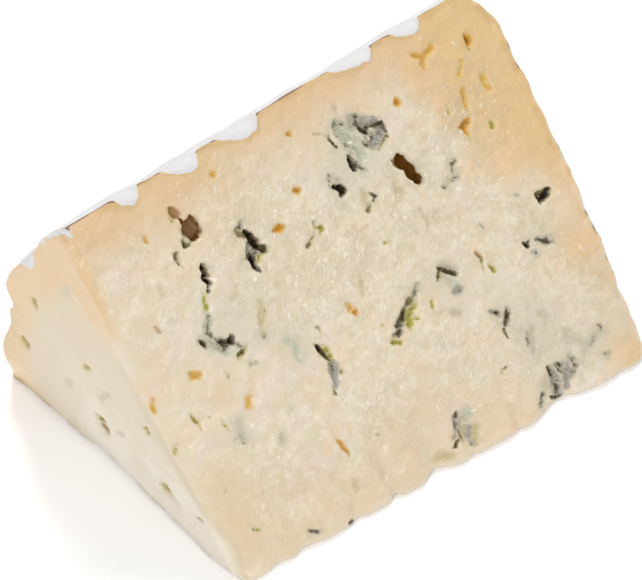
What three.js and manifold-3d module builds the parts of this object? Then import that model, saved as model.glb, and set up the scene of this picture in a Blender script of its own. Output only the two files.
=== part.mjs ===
// A wedge of blue-veined cheese lying on one of its two cut faces. It is a sector of a
// small tall wheel that was first halved across its height: the thin edge is the wheel's
// axis, the back is the curved rind, the left end is the halving cut and the right end
// is the flat of the wheel. Millimetres, x along the thin edge, y towards the rind, z up.
import * as THREE from "three";
import { ParametricGeometry } from "three/addons/geometries/ParametricGeometry.js";
import { mergeVertices } from "three/addons/utils/BufferGeometryUtils.js";
import Module from "manifold-3d";

// The wedge as cut
const WHEEL_RADIUS = 80;
const WEDGE_LENGTH = 101.6;
const CUT_ANGLE = THREE.MathUtils.degToRad(50);
// The rind is round up to this angle and runs on straight to the upper cut
const RIND_ROUND_END = THREE.MathUtils.degToRad(38.8);
// The thin edge runs askew: it starts short of the wheel's axis and ends past it
const EDGE_OFFSET_LEFT = 5.5;
const EDGE_OFFSET_RIGHT = -4.5;
// The soft paste has crumbled back from that line by this much all along
const EDGE_CRUMBLE = 1.2;
// The halving cut leans inwards at the thin edge, and a little under the rind
const END_LEAN = 4.5;
const END_UNDERCUT = 1.3;

// Radii of the edges along the wedge
const NOSE_RADIUS = 1.2;
const HEEL_RADIUS = 2.5;
const RIM_RADIUS = 0.5;
// Quarter rounds, seen from above, where the thin edge and the rind meet the right end
const EDGE_CORNER_RADIUS = 4.5;
const RIND_CORNER_RADIUS = 4;

// The rind is drawn over the upper cut in soft lobes, written as middle, half width and radius
const RIND_LOBES = [
  [-49, 4.5, 1.9], [-35, 4.2, 1.5], [-23, 6.5, 1.9], [-9.8, 7.5, 1.9], [17.5, 8, 1.6], [31, 6.5, 1.6],
];

// Waves are written as length, height and starting point
const THIN_EDGE_WAVES = [[5.3, 0.1, 2]];
const CUT_FACE_WAVES = [[31, 0.25, 5], [13, 0.15, 2]];
const CUT_FACE_PITCH = 27;
const RIND_WAVES = [[17, 0.3, 3], [7.1, 0.15, 1]];
const RIND_PITCH = 21;
// Bites out of the thin edge, written as middle, half width and depth
const THIN_EDGE_BITES = [
  [-42, 2.5, 0.6], [-35.5, 4, 0.9], [-23, 3, 0.7], [-14, 2.5, 1.2], [-3.5, 5, 1.9],
  [4.5, 2.5, 0.5], [27, 8.5, 2.3], [34.5, 3, 0.4], [41.5, 5, 0.6],
];
// Soft dents in the flat of the wheel along the upper cut: distance from the wheel's axis,
// height, half width and depth; each fades out over the same reach along the wedge
const END_DENTS = [
  [10, 17, 12, 1.5], [17.5, 24.5, 7, 0.9], [30, 38, 4, 0.6], [50, 60, 6, 1.5],
];
const DENT_REACH = 14;

// Rows of the skin: how many steps each part of the outline has, in order round it
const OUTLINE_STEPS = { upperCut: 30, nose: 4, base: 8, heel: 3, rind: 14, rindTop: 4, rim: 3 };
const BODY_STEPS = 38;
const CAP_SPREADS = [0, 0.25, 0.5, 0.75, 0.92];
// Rounding of the ends: share of the full outline and distance in from the end
const CUT_END_ROUNDING = [[0.975, 0], [0.992, 0.4]];
const CUT_END_DEPTH = 1.4;
const RIND_END_ROUNDING = [[0.96, 0], [0.975, 0.25], [0.985, 0.7], [0.995, 1.4]];
const RIND_END_DEPTH = 2.4;

// Openings in the upper cut face: two ends of the opening as distances along the wedge
// and out from the thin edge, then its width and depth
const CUT_FACE_POCKETS = [
  { from: [16.5, 61.5], to: [20, 54], width: 2.4, depth: 3.5 },
  { from: [-26.5, 69.5], to: [-27.5, 65.5], width: 3.8, depth: 3.5 },
  { from: [-28, 72], to: [-29.5, 69.5], width: 1.7, depth: 2 },
  { from: [-28.5, 60.5], to: [-29.5, 55.5], width: 1.3, depth: 2.5 },
  { from: [-18.5, 62.5], to: [-16.5, 56.5], width: 2, depth: 2.5 },
  { from: [-18, 57.5], to: [-19.5, 54], width: 1.8, depth: 2.5 },
  { from: [8, 65.5], to: [8.5, 62], width: 1.4, depth: 2.5 },
  { from: [2, 62], to: [3.5, 59], width: 2, depth: 2 },
  { from: [9, 68], to: [17.5, 67.5], width: 9, depth: 1.2 },
  { from: [29, 55.5], to: [23, 51], width: 2.5, depth: 1 },
  { from: [40.5, 41.5], to: [44, 41.5], width: 2.3, depth: 2 },
  { from: [14, 37], to: [18, 36], width: 2.6, depth: 1.8 },
  { from: [8.5, 35.5], to: [-0.5, 29.5], width: 2.9, depth: 1.2 },
  { from: [-16, 36.5], to: [-14.5, 28], width: 2.3, depth: 1.2 },
  { from: [-36.5, 47], to: [-29.5, 44], width: 2, depth: 1.2 },
  { from: [24, 25], to: [21, 19.5], width: 1.5, depth: 1.5 },
  { from: [29.5, 11], to: [28, 5], width: 4.2, depth: 1.2 },
  { from: [5, 11.5], to: [3, 5.5], width: 2.9, depth: 1.2 },
  { from: [32, 77], to: [31.5, 73.5], width: 3.5, depth: 1.2 },
  { from: [37, 66.5], to: [36, 62.5], width: 1.3, depth: 1.2 },
  { from: [35, 61], to: [33, 57.5], width: 1.9, depth: 1.2 },
  { from: [43.5, 75.5], to: [42.5, 73.5], width: 1.8, depth: 1.2 },
  { from: [-6, 40.5], to: [-5, 37.5], width: 1.7, depth: 1.2 },
  { from: [-21.5, 16], to: [-18.5, 17], width: 1.6, depth: 1.2 },
];
// Openings in the halving cut: the ends are distances from the wheel's axis and heights
const END_POCKETS = [
  { from: [28.5, 11], to: [28.5, 6.5], width: 2, depth: 1.5 },
  { from: [44.5, 17], to: [46.5, 10], width: 1.6, depth: 1.2 },
  { from: [70, 33.5], to: [73.5, 25], width: 5.6, depth: 2.6 },
  { from: [76.5, 26], to: [80, 2], width: 6, depth: 2.2 },
];
const POCKET_DETAIL = 2;
const POCKET_LUMP = 0.12;
const POCKET_LUMP_RATE = 3.5;

// Sum of the waves in a list at one distance
function waves(list, at) {
  return list.reduce(
    (sum, [length, height, start]) => sum + height * Math.sin((2 * Math.PI * (at - start)) / length),
    0,
  );
}

// Full height of the waves in a list, so that relief can be kept below the nominal skin
function crest(list) {
  return list.reduce((sum, wave) => sum + wave[1], 0);
}

// Smooth hump that is 1 at the middle and 0 at half a width to each side
function hump(offset, halfWidth) {
  return Math.abs(offset) < halfWidth ? 0.5 + 0.5 * Math.cos((Math.PI * offset) / halfWidth) : 0;
}

// Line of the thin edge as cut: its distance from the wheel's axis at one place along it
function straightEdge(along) {
  return THREE.MathUtils.lerp(EDGE_OFFSET_LEFT, EDGE_OFFSET_RIGHT, along / WEDGE_LENGTH + 0.5);
}

// How far a quarter round that ends at the right end has fallen away at one place along it
function cornerFall(along, radius) {
  const past = THREE.MathUtils.clamp(along - WEDGE_LENGTH / 2 + radius, 0, radius);
  return radius - Math.sqrt(radius * radius - past * past);
}

// Ragged thin edge: distance of the edge from the wheel's axis at one place along it
function thinEdge(along) {
  const bites = THIN_EDGE_BITES.reduce((sum, [at, half, depth]) => sum + depth * hump(along - at, half), 0);
  const ragged = EDGE_CRUMBLE + waves(THIN_EDGE_WAVES, along) + bites;
  return straightEdge(along) + ragged + cornerFall(along, EDGE_CORNER_RADIUS);
}

// Radius of the rim at one place along it, wider in each lobe of the rind
function rimRadius(along) {
  return RIND_LOBES.reduce((sum, [at, half, radius]) => sum + radius * hump(along - at, half), RIM_RADIUS);
}

// Point on an arc of the outline
function onArc(centre, radius, angle) {
  return new THREE.Vector2(centre.x + radius * Math.cos(angle), centre.y + radius * Math.sin(angle));
}

// Centres and angles of the cross-section at one place along the wedge: two straight
// cuts, the rind, and an arc tangent to both sides in each corner
function section(along) {
  const tip = thinEdge(along);
  const rim = rimRadius(along);
  const run = WHEEL_RADIUS * Math.cos(CUT_ANGLE) - tip;
  const slope = Math.atan2(WHEEL_RADIUS * Math.sin(CUT_ANGLE), run);
  const upward = new THREE.Vector2(-Math.sin(slope), Math.cos(slope));
  const noseReach = NOSE_RADIUS / Math.sin(slope / 2);
  const nose = new THREE.Vector2(tip + noseReach * Math.cos(slope / 2), NOSE_RADIUS);
  const wheel = WHEEL_RADIUS - cornerFall(along, RIND_CORNER_RADIUS);
  const heelAngle = Math.asin(HEEL_RADIUS / (wheel - HEEL_RADIUS));
  const heel = new THREE.Vector2((wheel - HEEL_RADIUS) * Math.cos(heelAngle), HEEL_RADIUS);
  const open = slope - RIND_ROUND_END;
  const toRind = wheel - tip * Math.cos(RIND_ROUND_END);
  const rimReach = (toRind - rim * (1 + Math.sin(open))) / Math.cos(open);
  const rimCentre = onArc(new THREE.Vector2(tip, 0), rimReach, slope).addScaledVector(upward, -rim);
  return { slope, upward, nose, wheel, heel, heelAngle, rim, rimCentre };
}

// Outline of the cross-section at one place along the wedge, from the rim down the upper
// cut, round the thin edge, along the base and back over the rind
function outline(along) {
  const { slope, upward, nose, wheel, heel, heelAngle, rim, rimCentre } = section(along);
  const upperAngle = slope + Math.PI / 2;
  const cutStart = rimCentre.clone().addScaledVector(upward, rim);
  const cutEnd = nose.clone().addScaledVector(upward, NOSE_RADIUS);
  const roundEnd = onArc(new THREE.Vector2(), wheel, RIND_ROUND_END);
  const rimStart = onArc(rimCentre, rim, RIND_ROUND_END);
  const mix = THREE.MathUtils.lerp;
  const parts = {
    upperCut: (share) => {
      const point = cutStart.clone().lerp(cutEnd, share);
      const ripple = Math.cos((2 * Math.PI * point.length()) / CUT_FACE_PITCH);
      const swell = waves(CUT_FACE_WAVES, along) * ripple - crest(CUT_FACE_WAVES);
      return point.addScaledVector(upward, swell * Math.sin(Math.PI * share));
    },
    nose: (share) => onArc(nose, NOSE_RADIUS, mix(upperAngle, 1.5 * Math.PI, share)),
    base: (share) => new THREE.Vector2(mix(nose.x, heel.x, share), 0),
    heel: (share) => onArc(heel, HEEL_RADIUS, mix(-Math.PI / 2, heelAngle, share)),
    rind: (share) => {
      const angle = mix(heelAngle, RIND_ROUND_END, share);
      const ripple = Math.cos((2 * Math.PI * WHEEL_RADIUS * angle) / RIND_PITCH);
      const wrinkle = waves(RIND_WAVES, along) * ripple - crest(RIND_WAVES);
      const radius = wheel + wrinkle * Math.sin(Math.PI * share);
      return new THREE.Vector2(radius * Math.cos(angle), radius * Math.sin(angle));
    },
    rindTop: (share) => roundEnd.clone().lerp(rimStart, share),
    rim: (share) => onArc(rimCentre, rim, mix(RIND_ROUND_END, upperAngle, share)),
  };
  return Object.entries(OUTLINE_STEPS).flatMap(([name, steps]) =>
    Array.from({ length: steps }, (_, step) => parts[name](step / steps)),
  );
}

// Stations from the middle of the left end, along the wedge, to the middle of the right
// end; spread is the share of the full outline
function buildStations() {
  const left = -WEDGE_LENGTH / 2;
  const right = WEDGE_LENGTH / 2;
  const bodyStart = left + CUT_END_DEPTH;
  const bodyEnd = right - RIND_END_DEPTH;
  const body = Array.from({ length: BODY_STEPS + 1 }, (_, step) => ({
    along: THREE.MathUtils.lerp(bodyStart, bodyEnd, step / BODY_STEPS),
    spread: 1,
  }));
  return [
    ...CAP_SPREADS.map((spread) => ({ along: left, spread })),
    ...CUT_END_ROUNDING.map(([spread, inset]) => ({ along: left + inset, spread })),
    ...body,
    ...RIND_END_ROUNDING.map(([spread, inset]) => ({ along: right - inset, spread })).reverse(),
    ...CAP_SPREADS.map((spread) => ({ along: right, spread })).reverse(),
  ];
}

// Shift of a point along the wedge that makes the left end lean and dents the right end
function lean(along, across, height) {
  const toRind = across / WHEEL_RADIUS;
  const toFoot = 1 - height / (WHEEL_RADIUS * Math.sin(CUT_ANGLE));
  const slant = END_LEAN * (1 - toRind) + END_UNDERCUT * toRind * toFoot;
  const dents = END_DENTS.reduce(
    (sum, [atAcross, atHeight, half, depth]) =>
      sum + depth * hump(Math.hypot(across - atAcross, height - atHeight), half),
    0,
  );
  const nearEnd = hump(WEDGE_LENGTH / 2 - along, DENT_REACH);
  return slant * (0.5 - along / WEDGE_LENGTH) - dents * nearEnd;
}

// Indexed geometry with shared corners and without triangles of no area
function closedGeometry(geometry) {
  geometry.deleteAttribute("normal");
  geometry.deleteAttribute("uv");
  const merged = mergeVertices(geometry);
  const corners = merged.index.array;
  const kept = [];
  for (let start = 0; start < corners.length; start += 3) {
    const [a, b, c] = corners.slice(start, start + 3);
    if (a !== b && b !== c && c !== a) kept.push(a, b, c);
  }
  merged.setIndex(kept);
  return merged;
}

// The whole wedge before its openings are cut
function wedgeGeometry() {
  const stations = buildStations();
  const rings = stations.map(({ along }) => outline(along));
  const stepsRound = rings[0].length;
  const centreAcross = (WHEEL_RADIUS * (1 + Math.cos(CUT_ANGLE))) / 3;
  const centreHeight = (WHEEL_RADIUS * Math.sin(CUT_ANGLE)) / 3;
  const centre = new THREE.Vector2(centreAcross, centreHeight);
  const skin = (u, v, target) => {
    const row = Math.round(v * (stations.length - 1));
    const { along, spread } = stations[row];
    const point = rings[row][Math.round(u * stepsRound) % stepsRound];
    const place = centre.clone().lerp(point, spread);
    target.set(along + lean(along, place.x, place.y), place.x, place.y);
  };
  return closedGeometry(new ParametricGeometry(skin, stepsRound, stations.length - 1));
}

// Lumpy rounded body of one opening, as long and wide as the opening and deep to each side
function pocketGeometry({ width, depth }, length) {
  const geometry = closedGeometry(new THREE.IcosahedronGeometry(1, POCKET_DETAIL));
  const position = geometry.attributes.position;
  const point = new THREE.Vector3();
  for (let index = 0; index < position.count; index += 1) {
    point.fromBufferAttribute(position, index);
    const along = Math.sin(POCKET_LUMP_RATE * point.x + length);
    const across = Math.cos(POCKET_LUMP_RATE * point.y + depth);
    const lump = 1 + POCKET_LUMP * along * across;
    position.setXYZ(index, ...point.multiplyScalar(lump));
  }
  return geometry.scale(length / 2, width / 2, depth);
}

// Places an opening between two points of a face, pressed in along the face's normal
function placedPocket(pocket, start, end, normal) {
  const lengthwise = end.clone().sub(start);
  const length = lengthwise.length();
  lengthwise.normalize();
  const crosswise = normal.clone().cross(lengthwise).normalize();
  const outward = lengthwise.clone().cross(crosswise);
  const middle = start.clone().lerp(end, 0.5);
  const matrix = new THREE.Matrix4().makeBasis(lengthwise, crosswise, outward).setPosition(middle);
  return pocketGeometry(pocket, length).applyMatrix4(matrix);
}

// Point of the upper cut face from its distance along the wedge and out from the line of
// the thin edge as cut, at the middle height of the relief there
function cutFacePoint([along, out]) {
  const { slope, upward } = section(along);
  const tip = thinEdge(along);
  const reach = out - (tip - straightEdge(along)) * Math.cos(slope);
  const sunk = -crest(CUT_FACE_WAVES) * Math.sin((Math.PI * out) / WHEEL_RADIUS);
  const across = tip + reach * Math.cos(slope) + sunk * upward.x;
  const height = reach * Math.sin(slope) + sunk * upward.y;
  return new THREE.Vector3(along + lean(along, across, height), across, height);
}

// Point of the halving cut from its distance from the wheel's axis and its height
function endPoint([across, height]) {
  const left = -WEDGE_LENGTH / 2;
  return new THREE.Vector3(left + lean(left, across, height), across, height);
}

const wasm = await Module();
wasm.setup();

// Solid of a geometry for cutting
function toSolid(geometry) {
  const vertProperties = new Float32Array(geometry.attributes.position.array);
  const triVerts = new Uint32Array(geometry.index.array);
  return new wasm.Manifold(new wasm.Mesh({ numProp: 3, vertProperties, triVerts }));
}

// Geometry of a solid after cutting
function toGeometry(solid) {
  const { vertProperties, triVerts } = solid.getMesh();
  const geometry = new THREE.BufferGeometry();
  geometry.setAttribute("position", new THREE.BufferAttribute(vertProperties, 3));
  geometry.setIndex(new THREE.BufferAttribute(triVerts, 1));
  return geometry;
}

// The wedge with the openings of its two visible cuts
function buildWedge() {
  const upward = new THREE.Vector3(0, -Math.sin(CUT_ANGLE), Math.cos(CUT_ANGLE));
  const endward = new THREE.Vector3(-1, 0, 0);
  const pockets = [
    ...CUT_FACE_POCKETS.map((pocket) =>
      placedPocket(pocket, cutFacePoint(pocket.from), cutFacePoint(pocket.to), upward),
    ),
    ...END_POCKETS.map((pocket) => placedPocket(pocket, endPoint(pocket.from), endPoint(pocket.to), endward)),
  ];
  const solid = pockets.reduce((whole, pocket) => whole.subtract(toSolid(pocket)), toSolid(wedgeGeometry()));
  return toGeometry(solid);
}

// Cheese paste as the eye sees it: ivory, slightly greasy
const paste = new THREE.MeshStandardMaterial({ color: 0xe2d4b9, roughness: 0.5, metalness: 0 });

const geometry = buildWedge();
geometry.computeBoundingBox();
const { min, max } = geometry.boundingBox;
geometry.translate(-(min.x + max.x) / 2, -(min.y + max.y) / 2, -min.z);
geometry.computeVertexNormals();

const wedge = new THREE.Mesh(geometry, paste);
wedge.name = "wedge";

const part = new THREE.Group();
part.name = "blue_cheese_wedge";
part.add(wedge);
export default part;
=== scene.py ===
import bpy
import numpy as np
from mathutils import Euler, Matrix, Vector


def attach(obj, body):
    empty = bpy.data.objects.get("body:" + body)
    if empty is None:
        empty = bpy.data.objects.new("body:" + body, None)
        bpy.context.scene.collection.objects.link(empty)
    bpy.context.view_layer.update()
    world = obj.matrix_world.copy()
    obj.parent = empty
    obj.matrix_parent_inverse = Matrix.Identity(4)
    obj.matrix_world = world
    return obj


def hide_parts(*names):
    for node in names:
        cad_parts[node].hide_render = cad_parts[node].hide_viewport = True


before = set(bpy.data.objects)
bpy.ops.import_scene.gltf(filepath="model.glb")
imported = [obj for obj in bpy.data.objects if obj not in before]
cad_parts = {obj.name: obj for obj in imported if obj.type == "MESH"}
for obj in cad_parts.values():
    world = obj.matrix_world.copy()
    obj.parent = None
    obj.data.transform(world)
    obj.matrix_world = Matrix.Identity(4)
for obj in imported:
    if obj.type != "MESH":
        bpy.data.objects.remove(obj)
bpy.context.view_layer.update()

# The wedge as cut
# One piece of ripened blue cheese. A small tall wheel was halved across its height and a sector was
# cut from one half, so it has two flat cuts that meet in a thin edge, a rind along its back, a plain
# cut at its left end and the flat of the wheel at its right end. Millimetres until the mesh is made.
WHEEL_RADIUS = 80.0
WEDGE_LENGTH = 101.6
CUT_ANGLE = np.radians(50.0)
# The rind is round up to this angle and runs on straight to the upper cut
RIND_ROUND_END = np.radians(38.8)
# The thin edge runs askew to the wheel's axis, and has crumbled back all along
EDGE_OFFSET_LEFT = 5.5
EDGE_OFFSET_RIGHT = -4.5
EDGE_CRUMBLE = 1.2
# The left end leans inwards at the thin edge, and a little under the rind
END_LEAN = 4.5
END_UNDERCUT = 1.3
# Radii of the edges along the wedge, and of the right end's two corners as seen from above
NOSE_RADIUS = 1.2
HEEL_RADIUS = 2.5
RIM_RADIUS = 0.5
CORNER_RADIUS = 6.5
# The middle of the piece in plan, which is the origin: along, across and height of that point
PLAN_MIDDLE = np.array([0.5, 39.375, 0.0])
# Bites out of the thin edge are written as middle, half width and size, lobes of the rind over the rim
# as start, end and size
THIN_EDGE_BITES = [
    (-42, 2.5, 0.6), (-35.5, 4, 0.9), (-23, 3, 0.7), (-14, 2.2, 1.2), (-3.5, 5, 1.9),
    (4.5, 2.2, 0.6), (16, 1.6, 0.5), (27, 8.5, 2.3), (34.5, 3, 0.4), (41.5, 5, 0.6),
]
RIND_LOBES = [
    (-55, -45.2, 3.0), (-40, -32.4, 1.9), (-29.5, -18.4, 2.2), (-17, -4, 2.2), (10, 24, 2), (26, 36, 2),
]
# Shares of a lobe's length over which it rises, and over which its hooked end falls
LOBE_RISE, LOBE_HOOK = (0, 0.7), (1.0, 0.82)
# How many steps each part of the outline has, in order round it
OUTLINE_STEPS = {
    "upper cut": 186,
    "nose": 8,
    "base": 16,
    "heel": 6,
    "rind": 60,
    "rind top": 16,
    "rim": 12,
}
# The noise repeats after this many cells, which lie askew to the faces
LATTICE_CELLS = 64
LATTICE_TURN = np.array(Euler((0.6, 0.9, 0.5)).to_matrix())


def hump(offset, half_width):
    """Smooth hump: half of one plus the cosine of the offset's share of the half width, 0 outside."""
    return 0.5 + 0.5 * np.cos(np.pi * np.clip(offset / half_width, -1, 1))


def smooth_step(low, high, value):
    """Cubic step from 0 at low to 1 at high: three times the square less twice the cube."""
    share = np.clip((value - low) / (high - low), 0, 1)
    return share * share * (3 - 2 * share)


def lattice_noise(points, size, seed):
    """Smooth random field of -1 to 1: random values at the corners of cells of that size, each point
    taking the average of its cell's eight corners, weighted by a quintic fade along each axis."""
    values = np.random.default_rng(seed).uniform(-1, 1, (LATTICE_CELLS,) * 3)
    scaled = np.asarray(points) @ LATTICE_TURN / size
    cell = np.floor(scaled).astype(int)
    part = scaled - cell
    fade = part**3 * (part * (part * 6 - 15) + 10)
    total = np.zeros(scaled.shape[:-1])
    for corner in np.ndindex(2, 2, 2):
        weight = np.where(corner, fade, 1 - fade).prod(-1)
        column, row, layer = np.moveaxis((cell + corner) % LATTICE_CELLS, -1, 0)
        total += weight * values[column, row, layer]
    return total


def straight_edge(along):
    """Distance of the thin edge from the wheel's axis without its bites: a straight line end to end."""
    share = along / WEDGE_LENGTH + 0.5
    return EDGE_OFFSET_LEFT + (EDGE_OFFSET_RIGHT - EDGE_OFFSET_LEFT) * share


def corner_fall(along):
    """How far a corner of the right end has fallen away, seen from above: a quarter round."""
    past = np.clip(along - WEDGE_LENGTH / 2 + CORNER_RADIUS, 0, CORNER_RADIUS)
    return CORNER_RADIUS - np.sqrt(CORNER_RADIUS**2 - past**2)


def thin_edge(along):
    """Distance of the thin edge from the wheel's axis: the straight line, what has crumbled off all along,
    a hump for each bite and the corner's fall at the right end."""
    bites = sum(size * hump(along - at, half) for at, half, size in THIN_EDGE_BITES)
    return straight_edge(along) + EDGE_CRUMBLE + bites + corner_fall(along)


def lobe_swell(along):
    """Extra radius of the rim where the rind laps over the cut: each lobe rises slowly and ends in a hook,
    a slow step up times a quick step down."""
    total = 0 * along
    for start, end, size in RIND_LOBES:
        share = (along - start) / (end - start)
        total = total + size * smooth_step(*LOBE_RISE, share) * smooth_step(*LOBE_HOOK, share)
    return total


def cut_slope(tip):
    """Angle of the upper cut, which runs from the thin edge at that tip to the wheel's round."""
    return np.arctan2(WHEEL_RADIUS * np.sin(CUT_ANGLE), WHEEL_RADIUS * np.cos(CUT_ANGLE) - tip)


def lean_share(along):
    """How much of the left end's lean a place along the wedge has: 1 at the left end, 0 at the right."""
    return 0.5 - along / WEDGE_LENGTH


def end_lean(across, height):
    """Lean of the left end: most at the thin edge, and under the rind growing towards the foot."""
    to_rind = across / WHEEL_RADIUS
    to_foot = 1 - height / (WHEEL_RADIUS * np.sin(CUT_ANGLE))
    return END_LEAN * (1 - to_rind) + END_UNDERCUT * to_rind * to_foot


def outline(along, tip):
    """Cross-section at each station whose thin edge lies at that tip, walked from the rim down the upper
    cut, round the thin edge, along the base and back over the rind: straight lines and the wheel's round,
    with an arc that touches both sides in each corner. Returns points and outward normals, stations by
    steps by two."""
    rim = RIM_RADIUS + lobe_swell(along)
    wheel = WHEEL_RADIUS - corner_fall(along)
    slope = cut_slope(tip)
    nose_centre = (tip + NOSE_RADIUS / np.tan(slope / 2), NOSE_RADIUS)
    heel_angle = np.arcsin(HEEL_RADIUS / (wheel - HEEL_RADIUS))
    heel_centre = ((wheel - HEEL_RADIUS) * np.cos(heel_angle), HEEL_RADIUS)
    opening = slope - RIND_ROUND_END
    rim_reach = wheel - tip * np.cos(RIND_ROUND_END) - rim * (1 + np.sin(opening))
    rim_reach = rim_reach / np.cos(opening)
    rim_centre = (
        tip + rim_reach * np.cos(slope) + rim * np.sin(slope),
        rim_reach * np.sin(slope) - rim * np.cos(slope),
    )
    upper = slope + np.pi / 2
    down = -np.pi / 2
    rim_arc = (rim_centre, rim)
    nose_arc = (nose_centre, NOSE_RADIUS)
    heel_arc = (heel_centre, HEEL_RADIUS)
    rind_arc = ((0, 0), wheel)
    parts = {
        "upper cut": (upper, upper, rim_arc, nose_arc),
        "nose": (upper, 1.5 * np.pi, nose_arc, nose_arc),
        "base": (down, down, nose_arc, heel_arc),
        "heel": (down, heel_angle, heel_arc, heel_arc),
        "rind": (heel_angle, RIND_ROUND_END, rind_arc, rind_arc),
        "rind top": (RIND_ROUND_END, RIND_ROUND_END, rind_arc, rim_arc),
        "rim": (RIND_ROUND_END, upper, rim_arc, rim_arc),
    }
    points, normals = [], []
    for name, (angle_from, angle_to, arc_from, arc_to) in parts.items():
        share = np.arange(OUTLINE_STEPS[name]) / OUTLINE_STEPS[name]
        angle = angle_from + (angle_to - angle_from) * share + 0 * along
        normal = np.stack([np.cos(angle), np.sin(angle)], -1)
        ends = []
        for centre, radius in (arc_from, arc_to):
            middle = np.stack([centre[0] + 0 * along, centre[1] + 0 * along], -1)
            ends.append(middle + normal * (radius + 0 * along)[..., None])
        points.append(ends[0] + (ends[1] - ends[0]) * share[:, None])
        normals.append(normal)
    return np.concatenate(points, 1), np.concatenate(normals, 1)


# Stations run from the middle of the left end out to its edge, along the wedge, and over the rounded
# right end to its middle. Spread is the share of the full outline, endways how far a point faces an end.
# The left end rolls softly into the upper cut and is crisper along its foot and rind.
LEFT_ROUND, RIGHT_ROUND = 5.5, 1.5
LEFT_SPREAD, RIGHT_SPREAD, MIDDLE_SPREAD = 0.87, 0.97, 0.03
CRISP_EDGE, RIM_EDGE = 0.3, 0.45
# Steps down the upper cut between which its left edge goes from crisp to soft
SOFTENING = (10, 90)
# Share of the way down the upper cut between which it bends to the crumbled thin edge
EDGE_BEND = (0.7, 0.97)
# Rings on each end, round the edge of each end and along the body
LEFT_RINGS, LEFT_TURNS = 41, 11
RIGHT_RINGS, RIGHT_TURNS = 28, 9
BODY_RINGS = 214
step_counts = np.array(list(OUTLINE_STEPS.values()))
steps_round = step_counts.sum()
first_steps = np.cumsum(step_counts) - step_counts
part_of = {
    name: slice(first, first + count) for name, first, count in zip(OUTLINE_STEPS, first_steps, step_counts)
}
cut_steps = np.arange(OUTLINE_STEPS["upper cut"])
softness = np.full(steps_round, CRISP_EDGE)
softness[part_of["upper cut"]] = RIM_EDGE + (1 - RIM_EDGE) * smooth_step(*SOFTENING, cut_steps)
softness[part_of["nose"]] = np.linspace(1, CRISP_EDGE, OUTLINE_STEPS["nose"])
softness[part_of["rim"]] = np.linspace(CRISP_EDGE, RIM_EDGE, OUTLINE_STEPS["rim"])
half_length = WEDGE_LENGTH / 2
left_turn = np.linspace(0, np.pi / 2, LEFT_TURNS)
right_turn = np.linspace(np.pi / 2, 0, RIGHT_TURNS)
left_ring = np.linspace(MIDDLE_SPREAD, 1, LEFT_RINGS + 1)[:-1]
right_ring = np.linspace(RIGHT_SPREAD, MIDDLE_SPREAD, RIGHT_RINGS + 1)[1:]
body_along = np.linspace(LEFT_ROUND - half_length, half_length - RIGHT_ROUND, BODY_RINGS + 2)[1:-1]
station_along = np.concatenate(
    [
        np.full(LEFT_RINGS, -half_length),
        LEFT_ROUND * (1 - np.cos(left_turn)) - half_length,
        body_along,
        half_length - RIGHT_ROUND * (1 - np.cos(right_turn)),
        np.full(RIGHT_RINGS, half_length),
    ]
)[:, None]
left_along = LEFT_ROUND * softness * (1 - np.cos(left_turn))[:, None] - half_length
left_spread = 1 - (1 - LEFT_SPREAD) * softness * (1 - np.sin(left_turn))[:, None]
right_spread = np.concatenate([RIGHT_SPREAD + (1 - RIGHT_SPREAD) * np.sin(right_turn), right_ring])
spread = np.concatenate(
    [
        left_ring[:, None] * left_spread[0],
        left_spread,
        np.ones((BODY_RINGS, steps_round)),
        np.repeat(right_spread[:, None], steps_round, 1),
    ]
)
endways = np.concatenate(
    [
        np.full(LEFT_RINGS, -1.0),
        -np.cos(left_turn),
        np.zeros(BODY_RINGS),
        np.cos(right_turn),
        np.full(RIGHT_RINGS, 1.0),
    ]
)[:, None]
sideways = np.sqrt(1 - endways**2)
# The upper cut is flat, and bends down to the crumbled thin edge only over its last part
edge_share = np.ones(steps_round)
edge_share[part_of["upper cut"]] = smooth_step(*EDGE_BEND, cut_steps / cut_steps.size)
edge_share[part_of["rim"]] = 0.0
flat_section, flat_normal = outline(station_along, straight_edge(station_along))
edge_section, edge_normal = outline(station_along, thin_edge(station_along))
section = flat_section + (edge_section - flat_section) * edge_share[:, None]
section_normal = flat_normal + (edge_normal - flat_normal) * edge_share[:, None]
# The rings of the ends shrink towards the middle of the triangle that the section nearly is
top_corner = WHEEL_RADIUS * np.array([np.cos(CUT_ANGLE), np.sin(CUT_ANGLE)])
section_centre = (top_corner + [WHEEL_RADIUS, 0]) / 3
place = section_centre + (section - section_centre) * spread[..., None]
across, height = place[..., 0], place[..., 1]
along = station_along + np.zeros(across.shape)
along[LEFT_RINGS : LEFT_RINGS + LEFT_TURNS] = left_along
endways_normal = np.broadcast_to(endways[..., None], across.shape + (1,))
normal = np.concatenate([endways_normal, section_normal * sideways[..., None]], -1)
solid = np.stack([along, across, height], -1)

# Weights of the upper cut, of the rind and of the two ends, each fading over the edge to its neighbour
rim_fade = np.linspace(0, 1, OUTLINE_STEPS["rim"])
cut_weight = np.zeros(steps_round)
cut_weight[part_of["upper cut"]] = 1.0
cut_weight[part_of["nose"]] = np.linspace(1, 0, OUTLINE_STEPS["nose"])
cut_weight[part_of["rim"]] = rim_fade
rind_weight = np.zeros(steps_round)
rind_weight[part_of["heel"]] = np.linspace(0, 1, OUTLINE_STEPS["heel"])
rind_weight[part_of["rind"]] = 1.0
rind_weight[part_of["rind top"]] = 1.0
rind_weight[part_of["rim"]] = 1 - rim_fade
on_cut, on_rind = cut_weight * sideways, rind_weight * sideways
on_left, on_right = np.maximum(-endways, 0), np.maximum(endways, 0)

# Openings and veins
# Air let into the wheel by needles fed blue mould in cracks between the curds. The knife laid them open:
# some are bare holes with brown walls, some are lined with slate-grey or pale mould, some are olive or
# yellow-green slits, and small round eyes are amber.

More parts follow.
